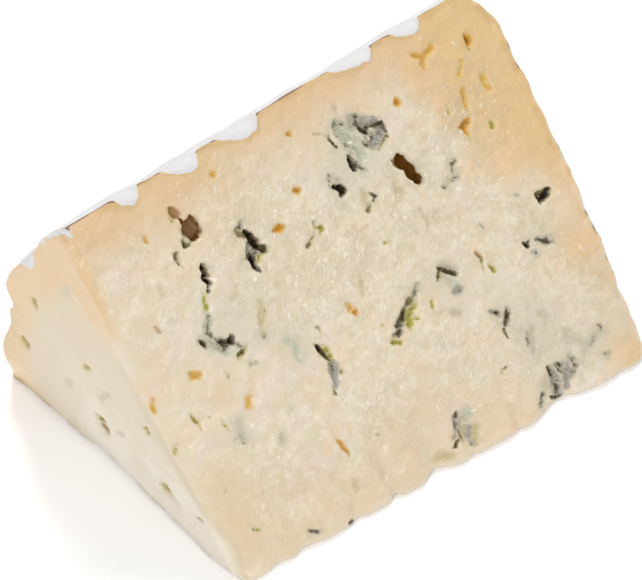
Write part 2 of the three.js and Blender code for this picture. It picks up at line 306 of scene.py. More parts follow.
# Each mark is a brush stroke that was read off the picture: its stain, its depth in millimetres, and
# points with half widths in the picture's pixels. A half width below zero leaves only a fainter speck.
UPPER_LEFT_CAVITY = [
    ("tawny", 1.2, (171.5, 209.5, 3), (174.5, 215, 3.4)),
    ("olive", 0.8, (170, 214, 1.2), (172, 220, 1.4)),
    ("brown", 1.4, (177.5, 217, 1), (180.5, 223, 1.6)),
    ("umber", 2.2, (190, 219.5, 5), (187.5, 227, 7), (191.5, 232.5, 6.2)),
    ("umber", 2.2, (195, 226, 4), (197.5, 230, 2.6)),
    ("brown", 2.2, (199, 229.5, 1.4), (197, 235.5, 1.6), (191, 239.5, 1.2)),
    ("shade", 1.8, (181, 229, 1.6), (183.5, 234.5, 2.2), (188, 238.5, 1.2)),
    ("olive", 1.2, (182, 242, 2.2), (184.5, 246, 2.6), (190.5, 241, 1.2)),
    ("black", 1.2, (182, 243.5, 1), (184.5, 247, 1)),
    ("olive", 1.2, (175, 254, 2.2), (176.5, 259, 2.4), (179.5, 265.5, 1)),
]
LEFT_SLIT = [
    ("black", 2.2, (200, 264.5, 2.2), (202, 272, 2.4), (204, 280, 2.8), (205.5, 286, 1.8), (205, 292, 0.8)),
    ("shade", 0.3, (206, 265, 0.8), (210, 268, 1.4)),
    ("lime", 0.3, (203.5, 294, 1.4), (205, 302, 1.8), (207, 309, 2.6)),
    ("pale", 0.3, (207, 314, 2.6), (208, 325, 3.6), (206, 335, 4)),
    ("slate", 0.4, (208, 317, 1), (207, 326, 1.4), (206.5, 331, 2)),
    ("fleck", -0.1, (209, 278, 1), (215, 280.5, 1.8)),
]
LEFT_CLUSTER = [
    ("black", 1.1, (229.5, 335, 1.8), (228.5, 341.5, 3.2)),
    ("black", 0.9, (217, 341, 1.8), (224, 342, 1.6)),
    ("slate", 0.8, (218, 342, 3), (224, 346, 3), (222, 350, 1.4)),
    ("black", 0.6, (200, 341, 1.2), (202, 344.5, 1.8)),
    ("slate", 0.6, (199, 341, 2.8), (203, 345, 3)),
    ("slate", 0.3, (206, 332, 2), (211, 337.5, 1.8), (217, 338.5, 1.4)),
    ("slate", 0.2, (212, 346, 1.2), (219, 351, 1)),
    ("slate", 0.4, (232, 340, 1.8), (236, 346, 1.6), (241, 347, 1.4)),
    ("pale", 0.3, (205, 341, 6), (214, 345, 6), (226, 350, 5)),
    ("lime", 0.7, (243.3, 345, 1.6), (241.5, 351, 1.8), (239, 357, 2.2)),
    ("black", 0.7, (239.5, 351, 1), (238.5, 355.5, 1)),
    ("dent", 0.3, (260, 303, 2.4), (261, 318, 3.4), (261, 331, 2.2)),
    ("olive", 0.4, (257.5, 312, 0.7), (258, 323, 1)),
    ("olive", 0.4, (263, 308, 0.7), (263, 321, 1)),
    ("fleck", 0, (260.5, 314, 0.7), (260.5, 320, 0.6)),
    ("slate", 0.5, (262, 336, 1.6)),
    ("dent", 0.1, (232, 297, 2)),
    ("slate", 0.2, (249, 364, 0.9), (254, 364.5, 1)),
]
BOOT = [
    ("slate", 0.7, (236.5, 232, 2.6), (239.5, 226, 3), (241, 223, 1.6)),
    ("olive", 0.8, (238.5, 234, 3), (241.5, 237, 2.4)),
    ("fleck", 0, (236.5, 229, 0.7)),
    ("fleck", 0, (241, 227.5, 0.6)),
    ("fleck", 0, (238.5, 236, 0.6)),
    ("black", 2, (243, 232, 2.4), (248.5, 238.5, 3.4), (255.5, 245.5, 3.4), (262, 250.5, 1.8)),
    ("lilac", 1.4, (247, 243, 2.6), (249.5, 250, 3.6), (255, 250.5, 2.4)),
    ("slate", 1.6, (246, 246, 1.6), (247, 258, 2.6), (256, 252.5, 2)),
    ("black", 2, (250, 255, 2.4), (251, 261, 2.8), (253, 267, 2.2), (255.5, 270, 1.2)),
    ("olive", 1.2, (262.5, 246, 1), (264.5, 250.5, 1.6), (259, 256, 1.4), (256.5, 262, 1.2)),
    ("lime", 0.5, (265, 249, 0.8), (262, 255, 1), (258, 260, 0.9)),
    ("haze", 0.1, (244, 262, 2.4)),
]
EYES = [
    ("amber", 0.6, (275, 230, 3.2), (280, 227.5, 3.8)),
    ("amber", 0.6, (297, 190.5, 3.9)),
    ("amber", 0.6, (395.5, 101.5, 3.8)),
    ("amber", 0.6, (287.5, 133, 2.8)),
    ("amber", 0.7, (144, 236, 1), (146, 243, 1.4)),
    ("gold", 0.5, (212, 174, 3)),
]
MIDDLE_SLITS = [
    ("olive", 0.6, (312, 222, 1.2), (314, 227, 1.8)),
    ("lime", 0.6, (314, 227, 1.6), (321, 228, 2.8), (319, 232, 2.6)),
    ("olive", 0.6, (312, 236, 1.8), (307, 245, 2.6)),
    ("olive", 0.5, (315, 326, 1.6), (318.5, 332, 1.4)),
    ("gold", 0.5, (345.5, 303, 2.4), (350.5, 309, 3)),
    ("amber", 0.7, (354.5, 312.5, 2.4)),
    ("dent", 0.3, (361, 276, 2.2), (362, 292, 2.8)),
    ("olive", 0.4, (359.5, 282, 1.4)),
    ("ochre", 0.3, (382.5, 241.5, 1.2), (388.5, 241.5, 1.4)),
    ("ochre", 0.1, (381, 325, 1.6)),
]
LOWER_LEFT_VEIN = [
    ("olive", 1, (316, 347, 2.8), (322, 352, 3.2), (329, 360, 2.8)),
    ("black", 1.2, (315, 347.5, 1.8), (320, 351, 2), (326.5, 357.5, 1.8)),
    ("lime", 0.7, (321, 345.5, 1.4), (326.5, 349.5, 2.6), (330.5, 356.5, 1.6)),
    ("slate", 0.8, (329, 361, 2), (331.5, 368, 2.2)),
    ("lilac", 0.8, (330, 364, 3), (333.5, 371, 4.4), (334.5, 380, 3), (334, 386, 1.8)),
    ("olive", 0.5, (340, 370.5, 1.6), (342.5, 373.5, 1.2)),
    ("olive", 0.5, (333, 387, 1.4), (334.5, 394, 1.4)),
    ("pale", 0.2, (287, 340, 3), (295, 347, 3.6), (299, 360, 2.4)),
    ("shade", 0.1, (298, 346, 1.6)),
]
BLUE_HOLLOW = [
    ("pale", 0.7, (338, 123, 4), (341, 132, 7), (351, 142, 8), (357, 151, 6), (362, 159, 4)),
    ("pale", 0.7, (352, 117, 5), (350, 127, 6)),
    ("lilac", 0.8, (361, 121, 3.6), (372, 121, 4.6), (380, 127, 4.4), (378, 137, 5.4), (370, 143, 4.4)),
    ("pale", 0.8, (377, 144, 3)),
    ("slate", 0.8, (333, 126, 2), (336, 122.5, 2.2), (341, 123.5, 1.6)),
    ("slate", 0.8, (334, 130, 1.2), (338, 136, 1)),
    ("slate", 0.9, (353, 113.5, 1.8), (356.5, 118, 2.2), (355, 124, 2.4)),
    ("slate", 1, (357, 122, 2.4), (358.5, 127.5, 3), (364, 130.5, 3), (369, 134, 2.2), (371.5, 139.5, 1.8)),
    ("slate", 1, (371.5, 139.5, 1.8), (367, 145, 2), (362.5, 141, 1.6)),
    ("black", 1.2, (357, 123, 1.2), (359, 128.5, 1.7), (364.5, 130, 1.5)),
    ("black", 1, (365, 126.5, 0.9), (373, 124.5, 1), (379.5, 122.5, 1)),
    ("black", 0.9, (382, 125.5, 1), (384.5, 131, 1)),
    ("slate", 0.9, (366, 138, 1.2), (364, 134, 1)),
    ("olive", 0.9, (385, 134, 1.8), (383.5, 142, 1.8), (376, 149, 1.4)),
    ("black", 0.7, (385, 136, 0.8), (383, 141, 0.8)),
    ("slate", 0.7, (342, 141, 1.2), (347, 146, 1.4), (352, 148, 1)),
    ("slate", 0.6, (350, 154, 1.4)),
    ("slate", 0.6, (357, 164, 2.6), (362, 168, 2)),
    ("shade", 0.2, (331.5, 104, 1.2), (336.5, 112, 1.2)),
    ("ochre", 0.4, (314, 133.5, 0.8), (322, 134.5, 0.9), (328, 137, 1)),
    ("olive", 0.7, (328, 136.5, 1.2), (331, 140.5, 1.2), (334.5, 146, 1.2)),
    ("black", 0.7, (328.5, 137, 0.8), (331, 140.5, 0.9), (334.5, 146, 0.8)),
    ("black", 2.4, (346, 157, 1.8), (349.5, 164, 3), (353.5, 169, 2.2)),
    ("fleck", 0, (366, 161, 1.2)),
    ("fleck", 0, (334, 132, 0.9)),
    ("fleck", 0, (338.5, 137.5, 0.8)),
    ("fleck", 0, (378, 118, 1), (380, 121, 0.6)),
    ("fleck", 0, (366, 119.5, 0.9), (371, 117, 0.7)),
    ("fleck", 0, (374, 120, 0.7)),
    ("fleck", 0, (349.5, 142.5, 1.6), (354, 141.5, 1)),
    ("fleck", 0, (368, 136.5, 0.6), (370, 139, 0.6)),
]
# A grey lump rises; the slate stroke along its left edge and the black below it are painted shadow of the
# lump, and the black also sinks as a pit
LUMP_SHADOW_AND_PIT = [
    ("shade", -0.4, (333.5, 178, 4.4)),
    ("slate", 0.5, (328.5, 175, 1.1), (328.5, 184, 1.1)),
    ("black", 2.2, (331.5, 186, 1.6), (337.5, 187, 3.6), (341, 188, 1.8), (338, 194.5, 2)),
    ("haze", 0.3, (338, 201, 1.6), (346, 208, 2)),
    ("fleck", 0, (345.5, 206.5, 0.9)),
]
BROWN_SLOT = [
    ("brown", 2.6, (397, 157.5, 4.6), (404, 165.5, 6), (411, 173.5, 6.4), (416, 180, 4.4)),
    ("tawny", 1.4, (391.5, 160.5, 1.6), (395.5, 163, 3), (400, 168, 1.8)),
    ("dent", 0.3, (396, 184, 3), (398, 194, 3.6), (402, 190, 2.6)),
    ("dent", 0.3, (363.5, 192, 3.2), (366, 202, 2.8)),
    ("olive", 0.6, (369, 203, 1.6), (369, 211, 2.8)),
    ("black", 0.5, (369, 194.8, 0.8), (374.5, 197.5, 0.9)),
    ("black", 0.5, (373, 197.5, 0.7), (373.5, 201, 0.7)),
    ("fleck", 0, (368, 196.5, 0.9)),
]
GREY_SPECKS = [
    ("slate", 0.7, (454, 159, 1.2), (450.5, 163.5, 1.8)),
    ("black", 0.7, (451, 162.5, 0.8)),
    ("slate", 0.5, (451, 166, 0.8), (450.5, 170, 1.2)),
    ("slate", 0.6, (455.5, 175.5, 1.8), (450.5, 180.5, 0.9)),
    ("slate", 0.6, (443, 187, 1.7)),
    ("slate", 0.3, (444.5, 178, 0.8)),
    ("haze", 0.2, (451, 163, 3), (454, 176, 3), (444, 185, 2.4)),
    ("shade", 0.3, (418.5, 208, 1), (424, 218, 1.8), (429, 228, 1.6)),
    ("shade", 0.3, (435, 212, 1.8), (434, 222, 1.6)),
    ("slate", 0.2, (479.5, 224, 0.5), (481.5, 227.5, 0.6)),
    ("slate", 0.3, (514, 194, 0.9)),
]
GOLDEN_CORNER = [
    ("gold", 0.7, (413, 54.5, 3), (421, 56, 4.4), (422.5, 66, 2)),
    ("gold", 0.6, (430, 46, 3), (422, 56, 4)),
    ("amber", 0.4, (419, 63, 1), (423.5, 67.5, 1.3)),
    ("amber", 0.9, (464.5, 34, 2.6), (467, 41, 4)),
    ("brown", 0.9, (464.5, 35, 0.6), (467, 40, 1)),
    ("lime", 0.8, (468, 46.5, 1.8), (468.5, 49, 0.8)),
    ("gold", 0.4, (460, 60, 1.6), (459.5, 75, 1.6)),
    ("gold", 0.6, (481, 75, 2.6), (484, 81, 3.6), (488.5, 87, 2.4)),
    ("gold", 0.7, (462.3, 89, 2.6), (463.5, 98, 3.2), (465, 109, 1.6)),
    ("amber", 0.9, (467, 118.5, 2.4), (463.5, 126, 4), (466.5, 133, 1.8)),
    ("tawny", 0.9, (466, 120, 0.8), (464, 127, 1.8)),
    ("amber", 1, (457.5, 126.5, 0.9), (462, 127, 1.6)),
    ("olive", 0.6, (468.5, 137, 0.8), (468.5, 141, 0.7)),
    ("lime", 0.7, (490, 121, 1.8), (491.5, 126, 2)),
    ("ochre", 0.3, (448, 104, 1.2), (447.5, 113, 1.2)),
    ("ochre", 0.3, (440, 69.5, 1)),
]
RIGHT_PITS = [
    ("olive", 1.4, (534, 193.5, 2.8), (541, 191.5, 3.6), (545.5, 189, 1.8)),
    ("black", 1.6, (546, 187.5, 1), (544.5, 192, 2.4), (541, 197, 2.6), (537, 200.5, 1.8)),
    ("black", 1.4, (532.5, 193.5, 1.2), (536, 198, 1.4)),
    ("umber", 1, (538.5, 194, 1.8)),
    ("black", 0.9, (522, 242.5, 1.4), (525, 245, 1.9), (526.5, 241, 1)),
    ("slate", 0.6, (537, 239.5, 2.6), (545, 239, 3.6), (551.5, 241, 2)),
    ("black", 0.5, (545, 237.5, 0.8), (547.5, 241, 0.8)),
    ("haze", 0.2, (543, 240, 4)),
    ("slate", 0.2, (533, 250.5, 1.4), (538, 254.5, 1.2)),
    ("haze", 0.2, (536, 253, 3)),
    ("black", 1.5, (438.5, 268.5, 1.2), (443, 270.5, 1.6), (448, 272, 1.2), (453.5, 273.5, 1.3)),
    ("olive", 1.2, (438, 268, 2.4), (437.5, 275, 2.6), (437, 280.5, 1.4)),
    ("slate", 0.9, (440, 269, 3), (446, 270, 3.2), (452, 272, 2)),
    ("slate", 0.7, (440, 275, 2.2)),
    ("shade", 0.6, (440, 264, 1.4), (448, 265, 2), (454.5, 269, 1.6)),
    ("lilac", 0.4, (453.5, 291, 2.4), (458, 287.5, 3)),
    ("slate", 0.4, (454.5, 291.5, 1.2), (460.5, 287, 0.8)),
    ("haze", 0.2, (446, 277, 3.4), (456, 290, 4)),
    ("tawny", 0.6, (475.5, 252.5, 2.4), (478, 256.5, 2)),
    ("umber", 0.5, (476, 251.5, 1.2)),
    ("olive", 0.5, (479, 260, 1.4), (482, 269, 1)),
    ("lime", 0.6, (489, 264, 1.8), (493.5, 269, 2.8)),
    ("lime", 0.5, (429.5, 300, 1.1), (432.5, 307.5, 1.4)),
    ("shade", 0.2, (453, 311.5, 4), (458, 312, 3.6)),
]
GREEN_SLASH = [
    ("slate", 0.6, (415, 284, 1), (413, 294, 1.8)),
    ("slate", 1.2, (410, 298, 2.8), (404.5, 306.5, 3.8), (401.5, 317, 4.6), (397.5, 326, 3.6)),
    ("olive", 1.2, (411, 299, 2), (406, 308, 3), (403.5, 318, 3.4)),
    ("black", 1.2, (406.5, 302, 0.6), (402.5, 311, 0.8), (401.5, 320, 1.1)),
    ("black", 1.2, (399.5, 332, 1.2), (396, 336, 1.2)),
    ("slate", 1, (399, 331.5, 2.6), (393, 336, 2)),
    ("lime", 0.9, (414, 303, 1.8), (409.5, 312, 3.4), (408, 325, 3.6)),
    ("lime", 0.6, (411, 317.5, 1.6), (418.5, 318.5, 0.8)),
    ("lime", 0.9, (391, 341.5, 2.2), (398, 341, 2.6)),
    ("fleck", 0, (411, 304.5, 0.9)),
    ("fleck", 0, (396, 320.5, 0.6)),
    ("fleck", 0, (401, 313.5, 0.5)),
]
LOWER_RIGHT_MOULD = [
    ("lilac", 0.3, (489, 312, 2), (495.5, 313, 3)),
    ("slate", 0.7, (490, 312, 1.4), (496, 313, 2.4)),
    ("black", 0.7, (495.5, 312.5, 1.2)),
    ("slate", 1.1, (506, 309, 1.4), (505.5, 317, 3), (504.5, 326, 2)),
    ("black", 1.2, (505.5, 312, 0.9), (505.5, 321, 1.4)),
    ("black", 0.8, (503, 329.5, 1), (507, 336.5, 1)),
    ("fleck", 0, (512, 337, 0.7), (516.5, 344.5, 0.8)),
    ("fleck", 0, (508, 329, 0.6), (511, 332, 0.5)),
    ("slate", 0.6, (527.5, 332, 0.9), (530.5, 343, 1.4)),
    ("shade", 0.3, (531, 325, 1.4), (537, 352, 2)),
    ("shade", 0.2, (541, 313, 3.4), (547, 316, 3)),
    ("lilac", 0.6, (556, 366, 3), (561, 378, 4.5), (563, 394, 3.6)),
    ("lilac", 0.5, (568, 362, 4), (574, 372, 4), (571, 385, 3.4)),
    ("slate", 1, (553.5, 366, 1.6), (558.5, 373, 2.2), (562.5, 382, 1.6)),
    ("black", 1, (553, 365.5, 1.1), (558, 373.5, 0.9)),
    ("black", 1, (562, 384, 1), (562, 392, 1)),
    ("slate", 0.9, (561, 363, 2.4), (568, 371, 1.8)),
    ("black", 0.8, (562.5, 362.5, 0.9), (566, 368, 0.8)),
    ("slate", 0.7, (571, 354, 1.2), (579, 364.5, 2.2)),
    ("slate", 0.4, (569, 376, 1.2), (578, 371, 1.2)),
    ("black", 0.5, (557, 396, 0.9), (566, 397, 1.2)),
    ("slate", 0.5, (549, 394, 2.4), (544.5, 404, 2)),
    ("haze", 0.1, (566, 333, 4), (588, 344, 4.4)),
    ("haze", 0.1, (586, 350, 3), (600, 330, 3)),
    ("slate", 0.3, (592, 343, 1.2), (596, 336, 1)),
    ("slate", 0.3, (601.5, 326, 2.2), (603, 330, 1.6)),
    ("slate", 0.2, (606.5, 352.5, 1), (612, 351.5, 1)),
    ("haze", 0.1, (562, 374, 6), (546, 398, 4)),
    ("olive", 0.3, (503.5, 370.5, 1.8), (507.5, 365.5, 1.6)),
    ("fleck", 0, (472, 411, 0.7), (484, 404, 0.9)),
    ("fleck", 0, (490, 400.5, 0.7), (499, 395, 0.6)),
]
FOOT_MOULD = [
    ("shade", 0.6, (465, 418, 6), (466, 434, 7)),
    ("lilac", 0.6, (456.5, 416, 1.6), (456, 438, 1.8)),
    ("black", 0.9, (458, 411, 0.7), (458, 416, 0.9)),
    ("black", 0.9, (457.7, 422, 0.7), (457.5, 427.5, 0.6)),
    ("slate", 0.5, (458, 421, 1.4), (460, 424, 1)),
    ("pale", 0.4, (464, 411, 3), (472, 412, 3)),
    ("olive", 0.8, (461.5, 429, 1.5), (464.5, 436.5, 3)),
    ("black", 0.8, (460, 440, 0.7), (456.3, 445, 0.7)),
    ("lilac", 0.8, (471, 427, 1.6), (471.5, 439, 2)),
    ("dent", 0.5, (477, 426, 4), (479, 440, 4.5)),
    ("slate", 0.7, (474.5, 443, 1.8), (477, 442, 1.4)),
    ("lime", 0.1, (478.5, 447.5, -0.4)),
    ("dent", 0.3, (443, 457.5, 4), (453, 454, 4)),
    ("fleck", 0, (442, 398, 0.7), (439, 405, 0.7), (441, 410.5, 0.9)),
    ("fleck", 0, (468, 422.5, 0.8), (471, 420.5, 0.6)),
]
LOWER_LEFT = [
    ("gold", 0.6, (190, 375.5, 2.6), (197, 374.5, 4)),
    ("amber", 0.6, (190, 378.5, 1), (198, 378.5, 1.5)),
    ("fleck", 0, (202, 370.5, 1.1), (203, 376, 0.9)),
    ("slate", 0.3, (228, 376.5, 1)),
    ("gold", 0.3, (247.5, 399, 3.8), (247.5, 405, 3.4)),
    ("amber", 0.7, (149, 401, 1.2), (151, 408.5, 2), (154.5, 415.5, 1.1)),
    ("ochre", 0.7, (189, 413.5, 0.8), (193, 420, 1.7), (200, 428.5, 0.7)),
    ("ochre", 0.4, (206.5, 417, 1)),
    ("ochre", 0.3, (219, 418, 0.7), (222, 425, 0.8), (227, 432, 0.6)),
    ("slate", 0.3, (234, 438.5, 0.9)),
    ("slate", 0.3, (238, 434, 0.8), (241, 442, 1)),
    ("haze", 0.2, (238, 422, 4), (244, 440, 3.4)),
    ("ochre", 0.5, (174, 444.5, 1.2), (175.3, 458, 1.3)),
    ("ochre", 0.3, (225.5, 487, 1), (225.5, 492, 0.8)),
    ("lime", 0.6, (255, 528, 1.8)),
    ("lime", 0.6, (261, 531, 1.7)),
    ("black", 0.5, (254.5, 529, 0.8)),
    ("amber", 0.7, (337, 440.5, 1), (343, 446, 2.2), (348, 453.5, 1.2)),
    ("slate", 0.9, (313, 531.5, 2), (319, 531.5, 2)),
    ("black", 0.8, (315, 531.5, 1)),
    ("black", 0.6, (351, 525.5, 0.8), (356, 522, 1.4)),
    ("dent", 0.6, (356, 482, 1.6), (360, 490, 1.6)),
    ("shade", 0.1, (282, 440, 3)),
    ("slate", 0.2, (280, 434, 0.6), (279.5, 437, 0.6)),
    ("slate", 0.2, (290, 409, 0.8)),
    ("slate", 0.2, (377.5, 435, 0.9)),
    ("dent", 0.3, (157, 286, 0.8), (160, 295, 0.6)),
    ("tawny", 0.2, (153, 327, 1.2), (159, 332, 0.8)),
    ("fleck", 0, (400, 386, 1.8), (402, 390, 1)),
    ("fleck", 0, (391, 475, 1.2), (390.5, 481, 1.4)),
    ("fleck", 0, (241.5, 444.5, 1), (237, 447, 0.6)),
    ("fleck", 0, (248, 421, 0.6), (251, 427, 0.7)),
]
UPPER_CUT = [
    *UPPER_LEFT_CAVITY,
    *LEFT_SLIT,
    *LEFT_CLUSTER,
    *BOOT,
    *EYES,
    *MIDDLE_SLITS,
    *LOWER_LEFT_VEIN,
    *BLUE_HOLLOW,
    *LUMP_SHADOW_AND_PIT,
    *BROWN_SLOT,
    *GREY_SPECKS,
    *GOLDEN_CORNER,
    *RIGHT_PITS,
    *GREEN_SLASH,
    *LOWER_RIGHT_MOULD,
    *FOOT_MOULD,
    *LOWER_LEFT,
]
# Marks of the left end, in the same form
LEFT_END = [
    (
        "ochre",
        0.5,
        (29, 299, 1.5),
        (33, 300, 1.5),
        (31, 304, 1.6),
        (35, 305, 1.6),
        (34, 308, 1.2),
        (36, 308, 1),
    ),
    ("ochre", 0.6, (14, 333, 1.5), (17, 333.5, 1.5), (16, 337, 1.8), (20, 338, 1.8)),
    ("ochre", 0.6, (18, 341, 1.8), (23, 341.5, 1.8), (20.5, 344.5, 1.5), (23, 345, 1.2)),
    ("haze", 0.1, (61, 292, 1.2), (66, 291, 1.2)),
    ("ochre", 0.5, (81.5, 366.5, 1.2), (84.5, 366, 1.3), (83.5, 369, 1.5), (88, 369, 1.5), (87, 371.5, 1)),
    ("haze", 0.2, (65, 381, 1.4), (68, 382, 1.4)),
    ("shade", 0.2, (99, 400, 1.4), (102, 396, 1.4), (106, 395.5, 1.4)),
    ("ochre", 0.8, (97.5, 417, 1.3), (100, 417.5, 1.3), (99, 421, 1.6), (103, 422, 1.6)),
    ("tawny", 0.9, (101, 426, 1.8), (104.5, 427, 1.8), (102.5, 431, 1.7), (105.5, 432, 1.5), (104, 435, 1)),
    ("shade", 0.2, (115, 433, 1.4), (122, 434, 1.2)),
    ("ochre", 0.3, (142, 429, 1.2), (145, 429.5, 1.2), (144, 433, 1.3), (147, 433.5, 1.2)),
    ("ochre", 0.7, (159, 484, 1.4), (163, 484.5, 1.4), (161, 489, 2), (166, 489.5, 2)),
    ("ochre", 0.7, (163, 493, 1.8), (168, 493.5, 1.8), (166, 497, 1.3), (168, 497.5, 1)),
    ("shade", 0.2, (174, 503, 1.4), (178, 506, 1.4)),
    ("ochre", 0.2, (196, 519, 1.2), (200, 521, 1.2)),
]
# The picture's view of the wedge: how the camera is turned and how far off it stands, the point it looks at
# as along, across and height, and in pixels where that point shows and how long the lens is
VIEW_AZIMUTH, VIEW_ELEVATION, VIEW_ROLL = np.radians([-39.3752, 47.4667, -1.4814])
VIEW_DISTANCE = 600.0
VIEW_POINT = np.array([0.5, 38.56, 25.0])
VIEW_POINT_PIXEL = np.array([325.8614, 280.3383])
LENS_PIXELS = 3165.12
# Pixels to a millimetre in the picture, on the whole
PIXELS_PER_MM = 4.75
# Sunken marks show too far left: pixels to set them back by at once, and for each millimetre of depth
CUT_SET_BACK = (0.7, 1.3)
END_SET_BACK = (0.0, 0.0)
# The left end is seen at a slant, so half widths on it are wider than they look
CUT_WIDENING, END_WIDENING = 1.0, 1.35
# How far the upper cut sinks in its middle
CUT_SAG = 0.4
# Middles of the two faces, from which places are searched, and the search's steps and nudge
CUT_MIDDLE, END_MIDDLE = (0.0, 40.0), (45.0, 20.0)
SEARCH_STEPS, SEARCH_NUDGE = 8, 0.01
# The fleck stain paints near-white glints: painted highlights on greasy pale flecks of curd.
# Width in millimetres over which each stain fades out at its edge, in the layers that hold four stains each
STAIN_BANDS = {
    "mould": {"black": 1.1, "slate": 1.5, "pale": 2.0, "haze": 4.0},
    "holes": {"brown": 0.8, "umber": 1.0, "amber": 1.4, "gold": 1.5},
    # The dent stain paints shade in shallow dents, along with soft tan patches
    "greens": {"olive": 1.4, "lime": 1.5, "ochre": 1.1, "dent": 3.0},
    "tints": {"tawny": 1.2, "shade": 2.6, "lilac": 2.0, "fleck": 0.8},
}
EDGE_BANDS = {stain: band for bands in STAIN_BANDS.values() for stain, band in bands.items()}
# Stains between which the wall of a mark falls
MARK_WALL = (0.25, 0.85)
# These leave a weak haze of this strength and reach round them
MOULDY = {"slate", "pale"}
HALO_STRENGTH, HALO_REACH = 0.4, 2.6
# Ragged edges of the marks: how far the noise shifts them, its size, and what is added to the face's seed
RAGGED_EDGES = [(0.3, 1.5, 0), (0.2, 0.7, 5)]
RAGGED_LEVEL = 7.0
CUT_SEED, END_SEED = 11, 31
# Weights of the upper cut and of the left end from which points take the marks of that face
CUT_FROM, END_FROM = 0.05, 0.5

view_level = np.cos(VIEW_ELEVATION)
view_back = np.array(
    [np.sin(VIEW_AZIMUTH) * view_level, -np.cos(VIEW_AZIMUTH) * view_level, np.sin(VIEW_ELEVATION)]
)
level_right = np.cross([0, 0, 1], view_back)
level_right = level_right / np.linalg.norm(level_right)
level_up = np.cross(view_back, level_right)
view_right = np.cos(VIEW_ROLL) * level_right + np.sin(VIEW_ROLL) * level_up
view_up = np.cross(view_back, view_right)


def in_picture(points):
    """Pixels at which points of the wedge show: their distances right of and below the point looked at,
    times the length of the lens over their distance from the camera."""
    offset = points - VIEW_POINT
    scale = LENS_PIXELS / (VIEW_DISTANCE - offset @ view_back)
    return VIEW_POINT_PIXEL + scale[:, None] * np.stack([offset @ view_right, -offset @ view_up], -1)


def upper_cut_points(places):
    """Points of the upper cut at distances along the wedge and out from the thin edge: out along the slope
    from the straight edge, sunk by a half wave, and leaned as the left end is."""
    place_along, place_out = places.T
    edge = straight_edge(place_along)
    slope = cut_slope(edge)
    sag = CUT_SAG * np.sin(np.pi * np.clip(place_out / WHEEL_RADIUS, 0, 1))
    place_across = edge + place_out * np.cos(slope) + sag * np.sin(slope)
    place_height = place_out * np.sin(slope) - sag * np.cos(slope)
    lean = lean_share(place_along) * end_lean(place_across, place_height)
    return np.stack([place_along + lean, place_across, place_height], -1)


def left_end_points(places):
    """Points of the left end at distances from the wheel's axis and heights, leaned."""
    place_across, place_height = places.T
    return np.stack([end_lean(place_across, place_height) - half_length, place_across, place_height], -1)


def places_shown_at(pixels, face_points, middle):
    """Places on a face that show at those pixels, by Newton's method: each step moves by what is left in
    the picture, divided by the picture's slopes over a small nudge."""
    places = np.tile(middle, (len(pixels), 1))
    for _ in range(SEARCH_STEPS):
        shown = in_picture(face_points(places))
        nudged = [in_picture(face_points(places + nudge)) for nudge in SEARCH_NUDGE * np.eye(2)]
        slopes = (np.stack(nudged, -1) - shown[..., None]) / SEARCH_NUDGE
        places = places + np.linalg.solve(slopes, (pixels - shown)[..., None])[..., 0]
    return places


def strokes_on_face(marks, face_points, middle, set_back, widening):
    """Marks of one face with their points in millimetres, to a tenth: each reading is set back for the
    mark's depth and found on the face, and its half width is divided by the pixels of a millimetre."""
    strokes = []
    for stain, depth, *points in marks:
        readings = np.array(points, float)
        pixels = readings[:, :2] + [set_back[0] + set_back[1] * max(depth, 0), 0]
        places = places_shown_at(pixels, face_points, middle)
        half_widths = widening * readings[:, 2:] / PIXELS_PER_MM
        strokes.append((stain, depth, np.hstack([places.round(1), half_widths.round(2)]).tolist()))
    return strokes


def stroke_gap(first, second, nodes):
    """Distance from each face point to a brush stroke: the least, over its segments, of the distance
    to the segment less the half width there. Below zero is inside."""
    gap = np.full(first.shape, np.inf)
    for start, end in zip(nodes, nodes[1:] or nodes):
        run, rise, widen = np.subtract(end, start)
        past_start = (first - start[0]) * run + (second - start[1]) * rise
        share = np.clip(past_start / max(run**2 + rise**2, 1e-6), 0, 1)
        reach = np.hypot(first - start[0] - share * run, second - start[1] - share * rise)
        gap = np.minimum(gap, reach - start[2] - share * widen)
    return gap


def paint_marks(strokes, first, second, seed):
    """Depth and stains of the marks on one face. The face is first shifted by small noise, so that edges
    are ragged; a stain runs from 1 inside through one half at the edge to 0 over its own band, the depth
    follows it, and mould leaves a wider, weaker haze."""
    flat = np.stack([first, second, np.full(first.shape, RAGGED_LEVEL)], -1)
    shifted = []
    for turn, face in enumerate((first, second)):
        layers = [shift * lattice_noise(flat, size, seed + more + turn) for shift, size, more in RAGGED_EDGES]
        shifted.append(face + sum(layers))
    depth, raised = np.zeros(first.shape), np.zeros(first.shape)
    face_stains = {stain: np.zeros(first.shape) for stain in EDGE_BANDS}
    for kind, deep, nodes in strokes:
        gap = stroke_gap(*shifted, nodes)
        stain = np.clip(0.5 - gap / EDGE_BANDS[kind], 0, 1)
        wall = smooth_step(*MARK_WALL, stain)
        depth = np.maximum(depth, max(deep, 0) * wall)
        raised = np.maximum(raised, max(-deep, 0) * wall)
        face_stains[kind] = np.maximum(face_stains[kind], stain)
        if kind in MOULDY:
            halo = HALO_STRENGTH * np.clip(1 - gap / HALO_REACH, 0, 1)
            face_stains["haze"] = np.maximum(face_stains["haze"], halo)
    return depth - raised, face_stains


